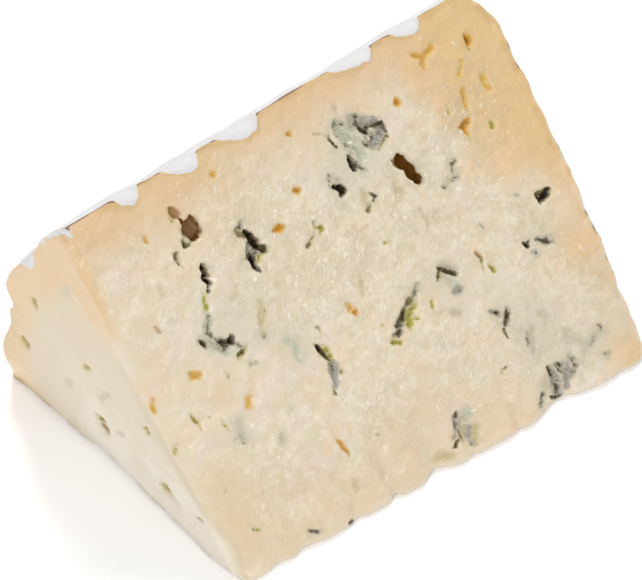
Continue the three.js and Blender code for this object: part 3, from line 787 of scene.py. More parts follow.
edge_line = straight_edge(station_along)
slope_line = cut_slope(edge_line)
out = (across - edge_line) * np.cos(slope_line) + height * np.sin(slope_line)
below = (across - edge_line) * np.sin(slope_line) - height * np.cos(slope_line)
cut_strokes = strokes_on_face(UPPER_CUT, upper_cut_points, CUT_MIDDLE, CUT_SET_BACK, CUT_WIDENING)
end_strokes = strokes_on_face(LEFT_END, left_end_points, END_MIDDLE, END_SET_BACK, END_WIDENING)
cut_depth, cut_stains = paint_marks(cut_strokes, along, out, CUT_SEED)
end_depth, end_stains = paint_marks(end_strokes, across, height, END_SEED)
cut_mask, end_mask = on_cut > CUT_FROM, on_left > END_FROM
stains = {kind: np.maximum(cut_stains[kind] * cut_mask, end_stains[kind] * end_mask) for kind in EDGE_BANDS}

# Relief of the cut faces and of the rind
# The wire or knife dragged soft paste along the upper cut and left low lumps and short strokes; the left
# end is smoother. The rind is wrinkled and dimpled where the wheel lay on its mat, and bulges below the
# rim. Layers of relief are written as height, size and seed, and each face is sunk to stay in its place.
CUT_LUMPS = [(0.2, 9.0, 1), (0.18, 3.5, 2), (0.1, 1.7, 13)]
MOULD_CRUMBS = [(0.3, 1.5, 4), (0.2, 0.8, 5)]
END_LUMPS = [(0.25, 12.0, 6), (0.06, 2.0, 7)]
RIND_LUMPS = [(0.3, 6.5, 8), (0.18, 2.6, 9)]
FLAT_LUMPS = [(0.35, 4.0, 27)]
FLAT_CRUMBS = [(0.2, 1.8, 28)]
KNIFE_STROKES = [(0.05, 1.1, 3)]
STROKE_SWAY = [(0.8, 6.0, 10)]
BACK_CRUMBS = [(0.12, 1.6, 33)]
CUT_SINK, END_SINK, RIND_SINK, FLAT_RISE = 0.36, 0.3, 0.48, 0.3
STROKE_TURN = np.radians(28.0)
STROKE_DRAW = 3.5
RIND_BULGE, RIND_BULGE_REACH = 1.0, 8.0
WRINKLE_DEPTH, WRINKLE_WIDTH, WRINKLE_SPACING = 0.7, 0.2, 6.0
WRINKLE_DRAW = np.array([0.55, 1.0, 1.0])
WRINKLE_SEED = 30
# Size and seed of the patches in which the strokes and the wrinkles come and go
STROKE_PATCHES, WRINKLE_PATCHES = (7.0, 12), (11.0, 32)
# Stain of mould from which the surface is crumbly
MOULD_FROM = 0.3
# The hidden rind begins this far below the rim, and at this spread of the right end
AWAY_FROM_RIM = (4, 14)
AWAY_FROM_EDGE = (RIGHT_SPREAD, 0.85)
# Points that face the right end by more than this share lie on its flat
FLAT_SHARE = 0.97


def noise_layers(points, layers):
    """Sum of layers of noise, each a height times the noise of its size and seed."""
    return sum(swell * lattice_noise(points, size, seed) for swell, size, seed in layers)


def noise_share(size, seed):
    """Noise of the wedge as a share from 0 to 1: one half plus half the noise."""
    return 0.5 + 0.5 * lattice_noise(solid, size, seed)


drawn_out = np.stack(
    [
        along * np.cos(STROKE_TURN) - out * np.sin(STROKE_TURN) + noise_layers(solid, STROKE_SWAY),
        (along * np.sin(STROKE_TURN) + out * np.cos(STROKE_TURN)) / STROKE_DRAW,
        np.zeros(along.shape),
    ],
    -1,
)
knife_strokes = noise_layers(drawn_out, KNIFE_STROKES) * noise_share(*STROKE_PATCHES)
mouldy = np.clip(stains["slate"] + stains["pale"] - MOULD_FROM, 0, 1)
crumbs = noise_layers(solid, MOULD_CRUMBS) * mouldy
cut_relief = noise_layers(solid, CUT_LUMPS) - CUT_SINK + knife_strokes - cut_depth + crumbs
end_relief = noise_layers(solid, END_LUMPS) - END_SINK - end_depth
arc = np.linalg.norm(np.diff(section, axis=1, append=section[:, :1]), axis=-1).cumsum(1)
past_rim = np.where(np.arange(steps_round) < cut_steps.size, -arc, arc[:, -1:] - arc)
folds = lattice_noise(solid * WRINKLE_DRAW, WRINKLE_SPACING, WRINKLE_SEED)
wrinkles = np.exp(-((folds / WRINKLE_WIDTH) ** 2))
wrinkles = wrinkles * noise_share(*WRINKLE_PATCHES)
on_flat = endways > FLAT_SHARE
back_away = on_rind * smooth_step(*AWAY_FROM_RIM, past_rim)
away = np.where(on_flat, smooth_step(*AWAY_FROM_EDGE, spread), back_away)
rind_relief = noise_layers(solid, RIND_LUMPS) - RIND_SINK
rind_relief = rind_relief + RIND_BULGE * hump(past_rim - RIND_BULGE_REACH, RIND_BULGE_REACH)
rind_relief = rind_relief - away * (WRINKLE_DEPTH * wrinkles - noise_layers(solid, BACK_CRUMBS))
flat_relief = noise_layers(solid, FLAT_LUMPS) + noise_layers(solid, FLAT_CRUMBS) * spread + FLAT_RISE
flat_relief = flat_relief - WRINKLE_DEPTH * away * wrinkles
relief = on_cut * cut_relief + on_left * end_relief + on_rind * rind_relief + on_right * flat_relief

# The left end leans, its rind edge and foot are worn, and the right end has soft dents along the upper cut.
# Wear is written as angle round the wheel, half width and depth, a dent as across, height, half width and
# depth; both fade out over a reach along the wedge
LEFT_EDGE_WEAR = [(22.0, 3.6, 2.8), (16.5, 12.0, 4.2), (7.0, 12.0, 2.7)]
WEAR_REACH, WEAR_FROM_AXIS = 6.0, 55.0
# Power of the spread by which the wear fades inwards on the left end
WEAR_INWARDS = 5
FOOT_UNDERCUT, FOOT_REACH = 2.4, 11.0
# Distances from the wheel's axis between which the undercut sets in
FOOT_SPAN = (15, 62)
FOOT_WANDER = [(0.5, 6.0, 29)]
FOOT_PITS, FOOT_CRUMBS = [(1.0, 3.2, 34)], [(0.5, 1.4, 35)]
FOOT_CRUMB_SIZE, FOOT_CRUMB_REACH = 0.9, 4.0
END_DENTS = [(10, 17, 12, 1.5), (17.5, 24.5, 7, 0.9), (30, 38, 4, 0.6), (50, 60, 6, 1.5)]
DENT_REACH = 14.0
bearing = np.arctan2(height, across)


def round_wheel(spots):
    """Sum of humps round the wheel, each with its angle in degrees, half width and size."""
    return sum(size * hump((bearing - np.radians(at)) * WHEEL_RADIUS, half) for at, half, size in spots)


from_axis = np.hypot(across, height)
worn = round_wheel(LEFT_EDGE_WEAR) * hump(along + half_length, WEAR_REACH)
worn = worn * spread**WEAR_INWARDS * (from_axis > WEAR_FROM_AXIS)
foot_wear = FOOT_UNDERCUT * smooth_step(FOOT_REACH, 0, height) * smooth_step(*FOOT_SPAN, across)
foot_wear = foot_wear * (1 + noise_layers(solid, FOOT_WANDER))
foot_crumbs = np.abs(noise_layers(solid, FOOT_PITS)) + noise_layers(solid, FOOT_CRUMBS)
foot_wear = foot_wear + FOOT_CRUMB_SIZE * foot_crumbs * smooth_step(FOOT_CRUMB_REACH, 0, height)
slant = (end_lean(across, height) + foot_wear) * lean_share(along)
dents = sum(
    depth * hump(np.hypot(across - at_across, height - at_height), half)
    for at_across, at_height, half, depth in END_DENTS
)
skin = solid + normal * relief[..., None]
skin[..., 0] += slant - dents * hump(half_length - along, DENT_REACH)
skin[..., 1] -= worn * np.cos(bearing)
skin[..., 2] -= worn * np.sin(bearing)
skin[..., 2] = np.maximum(skin[..., 2], 0)


def tube_mesh(name, rings):
    """Closed mesh of a stack of rings: a quad between neighbouring steps of neighbouring rings, wrapping
    round, and a fan from the middle of each end ring to its edge."""
    count, steps = rings.shape[:2]
    points = np.concatenate([rings.reshape(-1, 3), rings[:1].mean(1), rings[-1:].mean(1)])
    index = np.arange(count * steps).reshape(count, steps)
    beside = np.roll(index, -1, 1)
    quads = np.stack([index[:-1], beside[:-1], beside[1:], index[1:]], -1).reshape(-1, 4)
    start = np.full(steps, count * steps)
    left_fan = np.stack([start, beside[0], index[0]], -1)
    right_fan = np.stack([index[-1], beside[-1], start + 1], -1)
    mesh = bpy.data.meshes.new(name)
    mesh.from_pydata(points, [], quads.tolist() + left_fan.tolist() + right_fan.tolist())
    mesh.polygons.foreach_set("use_smooth", np.ones(len(mesh.polygons), bool))
    mesh.update()
    return mesh


def paint_points(mesh, name, channels):
    """Stores four fields of the rings as one colour per point; the two end points take the ring's mean."""
    values = np.stack(np.broadcast_arrays(*channels), -1)
    values = np.concatenate([values.reshape(-1, 4), values[:1].mean(1), values[-1:].mean(1)])
    layer = mesh.attributes.new(name, "FLOAT_COLOR", "POINT")
    layer.data.foreach_set("color", values.ravel().astype(np.float32))


# Where the rind begins
# The rind laps over the rim in white lobes. Between them the paste runs right up to the corner, which has
# a thin dark line. On the left end the rind shows as an edge line, wider at two places.
HEEL_MARGIN = 1.5
# Where the paste ends, in millimetres past the rim: between lobes, less in a lobe, and its raggedness
LAP, LOBE_LAP, RAGGED_LAP = 1.3, 1.7, [(0.5, 1.6, 24)]
# Swell of the rim between which it counts as a lobe
LOBE_SWELL = (0.15, 0.9)
# Patches of rind on the left end, as angle round the wheel, half width and size
LEFT_RIND_PATCHES = [(36.0, 6.5, 3.6), (43.0, 3.0, 0.8)]
LEFT_RIND_GAP = 0.3
# Distance inside the rind that stands for all of the right end, for its rounded edge and for the rest
FLAT_RIND, FLAT_EDGE_RIND, NO_RIND = 1.5, -2.5, -9.0
# How far a point faces an end where that end's rind takes over from the back's
RIGHT_FROM, LEFT_FROM = 0.2, -0.3
RIND_FADE = 3.0
# Distances past the heel over which its shade fades out
HEEL_SPAN = (9.0, 1.0)
# The dark line lies this far past the rim, and more weakly round the right end, where points face it
# by the shares between which it sets in and ends
CORNER_LINE_AT, CORNER_LINE_WIDTH = 0.4, 1.0
RIGHT_LINE_STRENGTH, RIGHT_LINE_SPAN, RIGHT_LINE_END = 0.4, (0.5, 0.9), 0.99
# The tan rim of the cut: its width and wander, where it is full and ends past the rim, where it sets
# in from the left end, and its reach from the right end and way out there
RIM_TINT_WIDTH, RIM_TINT_WANDER = 2.8, [(1.6, 5.0, 25)]
RIM_TINT_FULL, RIM_TINT_END, RIM_TINT_START = -0.2, 2.0, (3.0, 10.0)
RIGHT_TINT_REACH, RIGHT_TINT_OUT, RIGHT_TINT_END = (3.2, 0.4), (-20, 60), 0.9
past_heel = arc - arc[:, [part_of["heel"].start]] - HEEL_MARGIN
lobe = smooth_step(*LOBE_SWELL, lobe_swell(station_along))
lap = LAP - LOBE_LAP * lobe + noise_layers(solid, RAGGED_LAP)
on_skin = np.minimum(past_rim - lap, np.where(past_rim < 0, -NO_RIND, past_heel))
to_back = WHEEL_RADIUS - from_axis
left_skin = round_wheel(LEFT_RIND_PATCHES) - to_back - LEFT_RIND_GAP
right_skin = np.where(on_flat, FLAT_RIND, FLAT_EDGE_RIND)
rind_mm = np.maximum(on_skin, np.where(endways > RIGHT_FROM, right_skin, NO_RIND))
rind_mm = np.where(endways < LEFT_FROM, left_skin, rind_mm)
rind = np.clip(0.5 + rind_mm / RIND_FADE, 0, 1)
near_heel = on_rind * smooth_step(*HEEL_SPAN, past_heel)
corner_line = hump(past_rim - CORNER_LINE_AT, CORNER_LINE_WIDTH) * (1 - lobe) * sideways
right_line = smooth_step(*RIGHT_LINE_SPAN, endways) * (endways < RIGHT_LINE_END) * cut_weight
dark_line = np.maximum(corner_line, RIGHT_LINE_STRENGTH * right_line)
rim_width = RIM_TINT_WIDTH + noise_layers(solid, RIM_TINT_WANDER)
rim_tint = smooth_step(-rim_width, RIM_TINT_FULL, past_rim) * (past_rim < RIM_TINT_END) * on_cut
rim_tint = rim_tint * smooth_step(*RIM_TINT_START, along + half_length)
right_tint = smooth_step(*RIGHT_TINT_REACH, half_length - along) * smooth_step(*RIGHT_TINT_OUT, out)
rim_tint = np.maximum(rim_tint, right_tint * on_cut * (endways < RIGHT_TINT_END))

# Broad drift of the paste's colour
# It is tan next to the rind, golden in the far upper corner, peach along the foot and the left ridge, and
# cool and greyish round the mould; the cut is streaked and flecked where it has grain. Each spot is along,
# out, radius and strength.
WARM_SPOTS = [
    (-46, 60, 13, -0.08), (-48, 6, 22, 0.45), (-48, 22, 14, 0.3), (-20, 6, 22, 0.35), (0, 12, 16, 0.35),
    (16, 6, 12, 0.4), (45, 30, 9, 0.5), (46, 5, 10, 0.5), (-37, 37, 4, 0.4),
]
COOL_SPOTS = [
    (10, 66, 11, 0.8), (20, 54, 15, 0.5), (-27, 50, 15, 0.6), (-18, 38, 10, 0.5), (27, 22, 14, 0.6),
    (33, 11, 11, 0.7), (47, 12, 8, 0.5), (38, 37, 11, 0.5), (15, 36, 10, 0.5), (-37, 28, 9, 0.5),
    (3, 60, 8, 0.5),
]
GRAIN_SPOTS = [
    (-42, 68, 8, 0.5), (-15, 64, 14, 0.7), (-13, 51, 15, 0.9), (6, 47, 18, 0.9), (28, 57, 16, 0.8),
    (40, 66, 12, 0.5), (11, 22, 12, 0.7), (-11, 20, 12, 0.7), (-33, 16, 12, 0.6), (35, 37, 12, 0.7),
    (44, 22, 10, 0.8), (30, 12, 11, 0.6), (-38, 58, 7, 0.5),
]
# How far the tan reaches from the rind, with its wander, and how much less on the left end; its strength,
# and how much more it has on the left end, all over and between two distances from the back
TAN_REACH, TAN_WANDER, TAN_LEFT = 10.0, [(4.0, 14.0, 21)], 3.0
TAN_STRENGTH, TAN_LEFT_MORE, TAN_EDGE_MORE, TAN_EDGE_SPAN = 1.02, 0.15, 0.5, (13, 4)
# Warmth and gold next to the right end: reach, strength, and way out between which the gold sets in
END_REACH, END_STRENGTH, END_GOLD_OUT = 9.0, 0.5, (20, 60)
# The tan ridge of the left end: strength, distances below the cut, wander, and way out where it sets in
RIDGE_STRENGTH, RIDGE_BELOW, RIDGE_WANDER, RIDGE_OUT = 0.8, (8, 5), [(1.0, 6.0, 22)], (48, 64)
# Along and out of the golden corner, its reach, and how much less it counts outwards than along
GOLDEN_CORNER_AT, GOLDEN_REACH, GOLDEN_SQUEEZE = (48, 78), (32, 4), 0.65
# The pale middle of the left end: distances below the cut where it begins and where it is full near the
# thin edge, how much lower that is further out and under the ridge, and the weight of the end it needs
PALE_FROM, PALE_FULL, PALE_LOWER, PALE_OUT = 0.5, 2.5, 4.5, (8, 30)
PALE_UNDER_RIDGE, PALE_WEIGHT = 4.0, (0, 0.6)
# Low down and away from the back, between these heights and distances, it is painted lighter: painted light
# against the shade near the floor
FOOT_LIGHT_HEIGHTS, FOOT_LIGHT_FROM_BACK = (45, 12), (10, 28)
# Grain of the cut without spots, and what a full spot adds
PLAIN_GRAIN, SPOT_GRAIN = 0.3, 0.75
# Depth of wear that shows its colour in full
WEAR_FULL = 4.0


def spots_field(spots):
    """Sum of soft round spots: each a bell curve of the distance from its middle, down to about an eighth
    of its strength at its radius."""
    return sum(
        strength * np.exp(-((along - at_along) ** 2 + (out - at_out) ** 2) / (0.5 * radius**2))
        for at_along, at_out, radius, strength in spots
    )


tan_reach = TAN_REACH + noise_layers(solid, TAN_WANDER) - TAN_LEFT * on_left
near_back = np.exp(-np.maximum(to_back, 0) / tan_reach)
near_end = np.exp(-np.maximum(half_length - along, 0) / END_REACH)
ridge_wander = noise_layers(solid, RIDGE_WANDER)
ridge = smooth_step(*RIDGE_OUT, out)
warm = near_back * (TAN_STRENGTH + TAN_LEFT_MORE * on_left)
warm = warm + RIDGE_STRENGTH * on_left * smooth_step(*RIDGE_BELOW, below + ridge_wander) * ridge
warm = warm + on_cut * (spots_field(WARM_SPOTS) + END_STRENGTH * near_end)
warm = warm + TAN_EDGE_MORE * on_left * smooth_step(*TAN_EDGE_SPAN, to_back)
from_golden = np.hypot(along - GOLDEN_CORNER_AT[0], (out - GOLDEN_CORNER_AT[1]) * GOLDEN_SQUEEZE)
golden = on_cut * smooth_step(*GOLDEN_REACH, from_golden)
golden = golden + on_cut * END_STRENGTH * near_end * smooth_step(*END_GOLD_OUT, out)
cool = on_cut * spots_field(COOL_SPOTS)
pale_full = PALE_FULL + PALE_LOWER * smooth_step(*PALE_OUT, out)
pale_end = smooth_step(PALE_FROM, pale_full, below - PALE_UNDER_RIDGE * ridge + ridge_wander)
foot_light = smooth_step(*FOOT_LIGHT_HEIGHTS, height) * smooth_step(*FOOT_LIGHT_FROM_BACK, to_back)
pale_end = pale_end * smooth_step(*PALE_WEIGHT, on_left) * (0.5 + 0.5 * foot_light)
grain = np.clip(PLAIN_GRAIN + SPOT_GRAIN * spots_field(GRAIN_SPOTS), 0, 1)
grain = on_cut * grain * (1 - mouldy) - (1 - on_cut)

# The visible piece
# The wedge is a single lump of cheese without any joint, so one closed skin stands for all of it. Its
# stains and drifts of colour are kept on the points, four to a layer.
FIELDS = {layer: {stain: stains[stain] for stain in bands} for layer, bands in STAIN_BANDS.items()}
FIELDS["crust"] = {
    "rind": rind,
    "warm": np.clip(warm, 0, 1),
    "golden": np.clip(golden, 0, 1),
    "cool": np.clip(cool, 0, 1),
}
FIELDS["faces"] = {"grain": grain, "pale end": pale_end, "dark line": dark_line, "rim tint": rim_tint}
FIELDS["bloom"] = {
    "away": away,
    "wrinkles": away * wrinkles,
    "heel": near_heel,
    "left wear": worn / WEAR_FULL,
}
wedge_mesh = tube_mesh("cheese_wedge", (skin - PLAN_MIDDLE) / 1000)
for name, channels in FIELDS.items():
    paint_points(wedge_mesh, name, list(channels.values()))
wedge = bpy.data.objects.new("cheese_wedge", wedge_mesh)
bpy.context.scene.collection.objects.link(wedge)
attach(wedge, "root")
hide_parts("wedge")


# Ripened cheese
# Ivory paste that turns tan near the rind, stained by mould, with greasy pale flecks on the cut that are
# painted near white as their highlights, and painted light and shade on its soft lumps and hollows; the rind
# is a white, dull bloom over tan, with weak tan and grey blotches away from the rim. Light goes a little
# way in. Colours are as seen under the lamps, which are a little brighter than full.
STUDIO_LIGHT = 1.2


def linear(code, light=STUDIO_LIGHT):
    """Linear colour of an sRGB hex code that is seen under that light: each share over 12.92 if small,
    else raised to 2.4 after an offset, then divided by the light."""
    shares = np.array([int(code[i : i + 2], 16) for i in (1, 3, 5)]) / 255
    lit = np.where(shares <= 0.04045, shares / 12.92, ((shares + 0.055) / 1.055) ** 2.4)
    return (*(lit / light).tolist(), 1.0)


def add(tree, kind, inputs, **settings):
    """Adds one shader node with its own settings, and fills or links the named inputs."""
    node = tree.nodes.new(kind)
    for name, value in settings.items():
        setattr(node, name, value)
    for socket, value in inputs.items():
        if isinstance(value, bpy.types.NodeSocket):
            tree.links.new(value, node.inputs[socket])
        else:
            node.inputs[socket].default_value = value
    return node


# Sockets of a node that mixes colours
MIX_FACTOR, MIX_UNDER, MIX_OVER, MIX_RESULT = 0, 6, 7, 2
cheese = bpy.data.materials.new("ripened_cheese")
cheese.use_nodes = True
tree = cheese.node_tree
shader = tree.nodes["Principled BSDF"]
coords = add(tree, "ShaderNodeTexCoord", {}).outputs["Object"]
fields = {}
for name, channels in FIELDS.items():
    layer = add(tree, "ShaderNodeAttribute", {}, attribute_name=name)
    split = add(tree, "ShaderNodeSeparateColor", {0: layer.outputs["Color"]})
    fields.update(zip(channels, [*split.outputs, layer.outputs["Alpha"]]))

# Places that are shifted by noise, so that patterns wander: size of the noise and length of the shift, mm
SHIFTS = [(5.0, 3.0), (1.5, 1.6)]
shifted_places = [coords]
for size_mm, shift_mm in SHIFTS:
    wander = add(tree, "ShaderNodeTexNoise", {"Vector": coords, "Scale": 1000 / size_mm}).outputs["Color"]
    shift = {0: wander, 1: (shift_mm / 1000,) * 3, 2: shifted_places[-1]}
    shifted = add(tree, "ShaderNodeVectorMath", shift, operation="MULTIPLY_ADD")
    shifted_places.append(shifted.outputs[0])
steady, swayed, ragged = shifted_places

# Places drawn out into the knife's strokes: degrees turned from the way out, width and length in millimetres
DRAWN_OUT = {
    "streaks": (swayed, 28, 0.9, 3.0),
    "cross streaks": (swayed, -15, 0.9, 2.2),
    "long flecks": (ragged, 28, 0.9, 3.0),
    "short flecks": (ragged, 45, 0.8, 1.6),
}
drawn = {}
for name, (vector, turn_degrees, width_mm, length_mm) in DRAWN_OUT.items():
    turned = Matrix.Rotation(CUT_ANGLE, 3, "X") @ Matrix.Rotation(np.radians(-turn_degrees), 3, "Z")
    size = Vector((width_mm, length_mm, width_mm)) / 1000
    stroke = {"Vector": vector, "Rotation": turned.to_euler(), "Scale": size}
    drawn[name] = add(tree, "ShaderNodeMapping", stroke, vector_type="TEXTURE").outputs[0]

# Noise that breaks up the colours: its place, the size of its lumps in millimetres and its detail. Drawn
# out places count in strokes, and a thousand millimetres of them are one.
NOISES = {
    "broad": (steady, 16, 2.0),
    "patchy": (steady, 6, 3.0),
    "mottle": (steady, 3.0, 3.0),
    "fine": (steady, 1.2, 3.0),
    "speck": (steady, 0.5, 2.0),
    "peachy": (swayed, 7, 3.0),
    "greenish": (swayed, 4.5, 3.0),
    "lilac drift": (swayed, 5.5, 2.0),
    "soft lumps": (ragged, 2.0, 1.0),
    "hollow shade": (swayed, 2.6, 2.0),
    "streaks": (drawn["streaks"], 1000, 1.0),
    "cross streaks": (drawn["cross streaks"], 1000, 1.0),
}
for name, (vector, size_mm, detail) in NOISES.items():
    pattern = {"Vector": vector, "Scale": 1000 / size_mm, "Detail": detail}
    fields[name] = add(tree, "ShaderNodeTexNoise", pattern).outputs[0]
grain_share = {0: fields["grain"], 1: 0.6, 2: fields["mottle"]}
fields["patches"] = add(tree, "ShaderNodeMath", grain_share, operation="MULTIPLY_ADD").outputs[0]


def fleck_field(place):
    """Scattered smears: in drawn-out cells, a random reach less the distance to the cell's point."""
    cells = add(tree, "ShaderNodeTexVoronoi", {"Vector": place, "Scale": 1.0})
    chance = add(tree, "ShaderNodeSeparateColor", {0: cells.outputs["Color"]}).outputs[0]
    span = {"From Min": 0.3, "To Max": 0.5}
    reach = add(tree, "ShaderNodeMapRange", {"Value": chance} | span).outputs[0]
    gap = {0: reach, 1: cells.outputs["Distance"]}
    return add(tree, "ShaderNodeMath", gap, operation="SUBTRACT").outputs[0]


for name in ("long flecks", "short flecks"):
    fields[name] = fleck_field(drawn[name])


def cover(name, breaker, amount, low_edge, high_edge, most):
    """How far a layer covers: its field plus a share of noise, faded in over a range up to the most it
    may cover, and nothing where the field itself is nil."""
    limit = {"Value": fields[name], "From Max": 0.2, "To Max": most}
    present = add(tree, "ShaderNodeMapRange", limit).outputs[0]
    parts = {0: fields[breaker], 1: amount, 2: fields[name]}
    broken = add(tree, "ShaderNodeMath", parts, operation="MULTIPLY_ADD").outputs[0]
    span = {"From Min": low_edge + amount / 2, "From Max": high_edge + amount / 2, "To Max": present}
    fade = add(tree, "ShaderNodeMapRange", {"Value": broken} | span, interpolation_type="SMOOTHSTEP")
    return fade.outputs[0]


# Each layer of colour: field, noise that breaks it up, how much, the range that fades it in, cover, colour
LAYERS = [
    ("peachy", "broad", 0.5, 0.45, 0.7, 0.7, "#E6CDAE"),
    ("greenish", "broad", 0.5, 0.48, 0.7, 0.6, "#DFD8BC"),
    ("lilac drift", "broad", 0.5, 0.5, 0.72, 0.5, "#E3D6CB"),
    ("mottle", "patchy", 0.5, 0.5, 0.75, 0.4, "#E8DDCB"),
    # Soft lumps are painted paler: painted light on the crumb's soft lumps, which the bump also raises
    ("soft lumps", "patches", 0.6, 0.62, 0.9, 0.45, "#F0E7D4"),
    ("fine", "patches", 0.6, 0.64, 0.9, 0.3, "#F3EBDA"),
    # The pale end goes from darker high up to near white low down: painted shade near the top and painted
    # light at the foot
    ("pale end", "patchy", 0.3, 0.1, 0.4, 0.9, "#DBCBB0"),
    ("pale end", "patchy", 0.3, 0.5, 0.85, 0.9, "#E2D6BF"),
    ("pale end", "patchy", 0.3, 0.85, 1.1, 0.9, "#F0E8D8"),
    ("warm", "patchy", 0.8, 0.1, 0.9, 1.0, "#E2C49A"),
    ("golden", "peachy", 1.0, 0.1, 0.6, 0.8, "#E6C69C"),
    ("golden", "patchy", 1.3, 0.2, 0.9, 0.8, "#E1C08A"),
    ("cool", "patchy", 0.9, 0.2, 0.9, 0.8, "#D6CFB9"),
    ("haze", "mottle", 0.9, 0.1, 0.8, 0.75, "#BBB8A0"),
    ("shade", "fine", 0.6, 0.15, 0.95, 0.8, "#B5A98E"),
    # Dent: darker tan, painted shade of shallow dents along with tan patches
    ("dent", "fine", 0.6, 0.2, 0.85, 0.85, "#BFAF80"),
    ("streaks", "patches", 0.6, 0.88, 1.2, 0.45, "#F1E6D1"),
    ("cross streaks", "patches", 0.6, 0.92, 1.2, 0.35, "#CFC0A0"),
    # This layer paints darker patches: painted shade of small hollows that have no relief under them
    ("hollow shade", "patches", 0.6, 0.66, 0.95, 0.32, "#CDBC9A"),
    ("speck", "patches", 0.6, 0.64, 0.9, 0.25, "#C9B690"),
    # Long and short flecks: pale smears of curd painted near white, which also paints their glints of light
    ("long flecks", "patches", 0.5, 0.25, 0.55, 0.65, "#F6EDD9"),
    ("short flecks", "patches", 0.5, 0.3, 0.55, 0.65, "#F8F0DF"),
    ("gold", "fine", 0.8, 0.2, 0.5, 0.7, "#DCB973"),
    ("gold", "fine", 0.8, 0.45, 0.8, 0.9, "#DAAB48"),
    ("pale", "fine", 0.9, 0.25, 0.65, 0.75, "#C3C3AA"),
    ("pale", "speck", 1.6, 0.8, 1.1, 0.6, "#989882"),
    ("lilac", "fine", 0.8, 0.2, 0.7, 0.85, "#97938A"),
    ("lilac", "mottle", 1.6, 0.75, 1.0, 0.6, "#C6C5BF"),
    ("lilac", "speck", 1.8, 0.85, 1.1, 0.7, "#625E50"),
    ("slate", "fine", 0.9, 0.15, 0.5, 0.6, "#AEA890"),
    ("slate", "fine", 1.2, 0.5, 0.75, 0.85, "#787058"),
    ("slate", "speck", 2.2, 0.66, 0.95, 0.9, "#3A321C"),
    ("ochre", "fine", 0.8, 0.2, 0.5, 0.6, "#D3C698"),
    ("ochre", "fine", 0.8, 0.45, 0.7, 0.95, "#B3A050"),
    ("olive", "fine", 0.8, 0.2, 0.5, 0.6, "#C4BA8E"),
    ("olive", "fine", 1.0, 0.5, 0.7, 0.9, "#7F7440"),
    ("lime", "fine", 0.8, 0.2, 0.5, 0.6, "#CCC484"),
    ("lime", "fine", 1.0, 0.48, 0.68, 0.95, "#A69F38"),
    ("lime", "speck", 1.8, 0.85, 1.1, 0.7, "#6A6424"),
    ("amber", "fine", 0.6, 0.2, 0.48, 0.7, "#D9B673"),
    ("amber", "fine", 0.6, 0.42, 0.75, 1.0, "#D6971C"),
    ("amber", "fine", 0.6, 0.7, 1.05, 0.8, "#B4700E"),
    ("tawny", "fine", 0.6, 0.25, 0.75, 0.95, "#AA8248"),
    ("umber", "fine", 0.5, 0.4, 0.6, 1.0, "#85602E"),
    ("brown", "fine", 0.4, 0.42, 0.58, 1.0, "#6A4410"),
    ("black", "fine", 0.8, 0.2, 0.5, 0.85, "#5F5434"),
    ("black", "fine", 0.9, 0.45, 0.75, 1.0, "#271D08"),
    ("black", "speck", 2.0, 0.95, 1.2, 0.5, "#757055"),
    # Fleck strokes: near-white painted highlights on greasy pale flecks
    ("fleck", "fine", 0.5, 0.35, 0.7, 0.9, "#F5ECD8"),
    ("rim tint", "mottle", 1.6, 0.3, 1.1, 0.6, "#D2AE72"),
    ("rind", "fine", 0.4, 0.47, 0.53, 1.0, "#CDBFA8"),
    ("rind", "patchy", 0.9, 0.48, 0.55, 1.0, "#DEDCDB"),
    ("away", "patchy", 2.4, 0.9, 1.7, 0.6, "#D6C8AC"),
    ("away", "mottle", 2.4, 1.2, 1.7, 0.5, "#A39A98"),
    ("heel", "patchy", 1.6, 0.6, 1.4, 0.6, "#CDBB98"),
    ("wrinkles", "fine", 0.8, 0.3, 0.9, 0.4, "#B4A48A"),
    ("left wear", "mottle", 0.8, 0.2, 0.7, 0.85, "#D9BE94"),
    ("dark line", "mottle", 1.8, 0.35, 0.8, 0.85, "#755C54"),
]
paste = {MIX_FACTOR: fields["broad"], MIX_UNDER: linear("#DFCFB3"), MIX_OVER: linear("#E6D6BC")}
colour = add(tree, "ShaderNodeMix", paste, data_type="RGBA").outputs[MIX_RESULT]
for *rule, code in LAYERS:
    mix = {MIX_FACTOR: cover(*rule), MIX_UNDER: colour, MIX_OVER: linear(code)}
    colour = add(tree, "ShaderNodeMix", mix, data_type="RGBA").outputs[MIX_RESULT]

# Holes and rind are dull, the cut is greasy: its streaks, flecks and soft lumps catch the light
dull = fields["black"]
for name in ("brown", "rind"):
    dull = add(tree, "ShaderNodeMath", {0: dull, 1: fields[name]}, operation="MAXIMUM").outputs[0]
gloss = add(tree, "ShaderNodeMapRange", {"Value": dull, "To Min": 0.5, "To Max": 0.05}).outputs[0]
greasy = cover("long flecks", "patches", 0.5, 0.28, 0.5, 0.6)
for name, share in (("streaks", 0.5), ("soft lumps", 1.5)):
    raised = {0: fields[name], 1: share, 2: greasy}
    greasy = add(tree, "ShaderNodeMath", raised, operation="MULTIPLY_ADD").outputs[0]
depth_span = {"Value": fields["grain"], "From Min": -0.4, "From Max": 1.0, "To Max": 0.85}
depth_share = add(tree, "ShaderNodeMapRange", depth_span).outputs[0]
grease = {"Strength": depth_share, "Distance": 0.0003, "Height": greasy}
tree.links.new(colour, shader.inputs["Base Color"])
tree.links.new(add(tree, "ShaderNodeBump", grease).outputs[0], shader.inputs["Normal"])
tree.links.new(gloss, shader.inputs["Specular IOR Level"])
shader.inputs["Subsurface Weight"].default_value = 0.2
shader.inputs["Subsurface Scale"].default_value = 0.0012
shader.inputs["Subsurface Radius"].default_value = (1.0, 0.8, 0.6)
shader.inputs["Roughness"].default_value = 0.34
shader.inputs["IOR"].default_value = 1.45
wedge_mesh.materials.append(cheese)

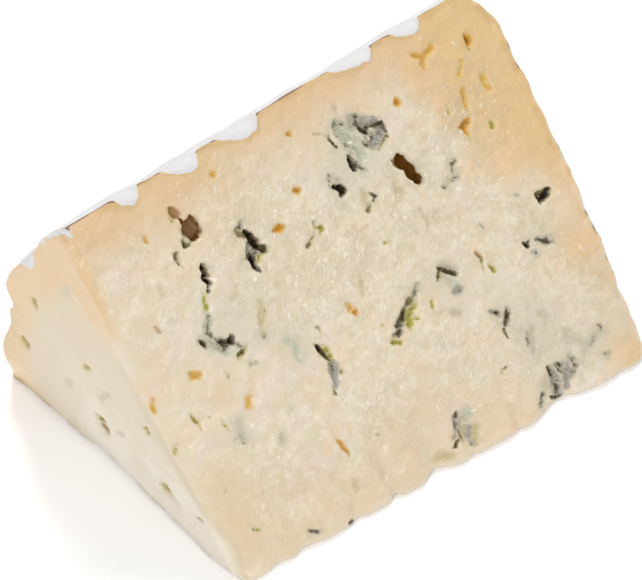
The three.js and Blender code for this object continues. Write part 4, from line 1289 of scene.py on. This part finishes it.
# The studio
# A plain pale table top, an even white surround, a lamp high behind and two softer ones in front. Lamps
# are written as place in metres, size and power.
FLOOR_SIZE = 4.0
floor_corners = FLOOR_SIZE / 2 * np.array([(-1, -1, 0), (1, -1, 0), (1, 1, 0), (-1, 1, 0)])
floor_mesh = bpy.data.meshes.new("floor")
floor_mesh.from_pydata(floor_corners, [], [(0, 1, 2, 3)])
floor = bpy.data.objects.new("floor", floor_mesh)
bpy.context.scene.collection.objects.link(floor)
table_top = bpy.data.materials.new("pale_table_top")
table_top.use_nodes = True
table_shader = table_top.node_tree.nodes["Principled BSDF"]
table_shader.inputs["Base Color"].default_value = linear("#FDFDFD", 1.0)
table_shader.inputs["Roughness"].default_value = 0.9
floor_mesh.materials.append(table_top)

world = bpy.data.worlds.new("surround")
world.use_nodes = True
surround = world.node_tree.nodes["Background"]
surround.inputs["Color"].default_value = linear("#FFFFFF", 1.0)
surround.inputs["Strength"].default_value = 0.61
bpy.context.scene.world = world
LAMPS = {
    "back_lamp": ((0.3, 0.4, 0.9), 0.3, 5.8),
    "left_lamp": ((-0.7, -0.3, 0.6), 0.4, 2.7),
    "front_lamp": ((-0.15, -0.78, 0.65), 0.2, 1.9),
}
LAMPS_AIM = Vector((0, 0, 0.02))
for name, (spot, size, energy) in LAMPS.items():
    lamp = bpy.data.objects.new(name, bpy.data.lights.new(name, "AREA"))
    lamp.data.size = size
    lamp.data.energy = energy
    lamp.location = spot
    lamp.rotation_euler = (LAMPS_AIM - lamp.location).to_track_quat("-Z", "Y").to_euler()
    bpy.context.scene.collection.objects.link(lamp)

# The camera
# It stands off the left front corner, high up, with a long lens, turned as the picture's view is. Its aim
# is in millimetres from the origin, and its axis passes a little left of and below that.
CAMERA_LENS = 177.5
CAMERA_AIM = np.array([0.07, -0.67, 25.0])
AXIS_LEFT, AXIS_BELOW = 0.92, 1.83
camera = bpy.data.objects.new("camera", bpy.data.cameras.new("camera"))
camera.data.lens = CAMERA_LENS
axis_aim = CAMERA_AIM - AXIS_LEFT * view_right - AXIS_BELOW * view_up
camera.location = (axis_aim + VIEW_DISTANCE * view_back) / 1000
camera.rotation_euler = Matrix([view_right, view_up, view_back]).transposed().to_euler()
bpy.context.scene.collection.objects.link(camera)
bpy.context.scene.camera = camera
bpy.context.scene.view_settings.view_transform = "Standard"
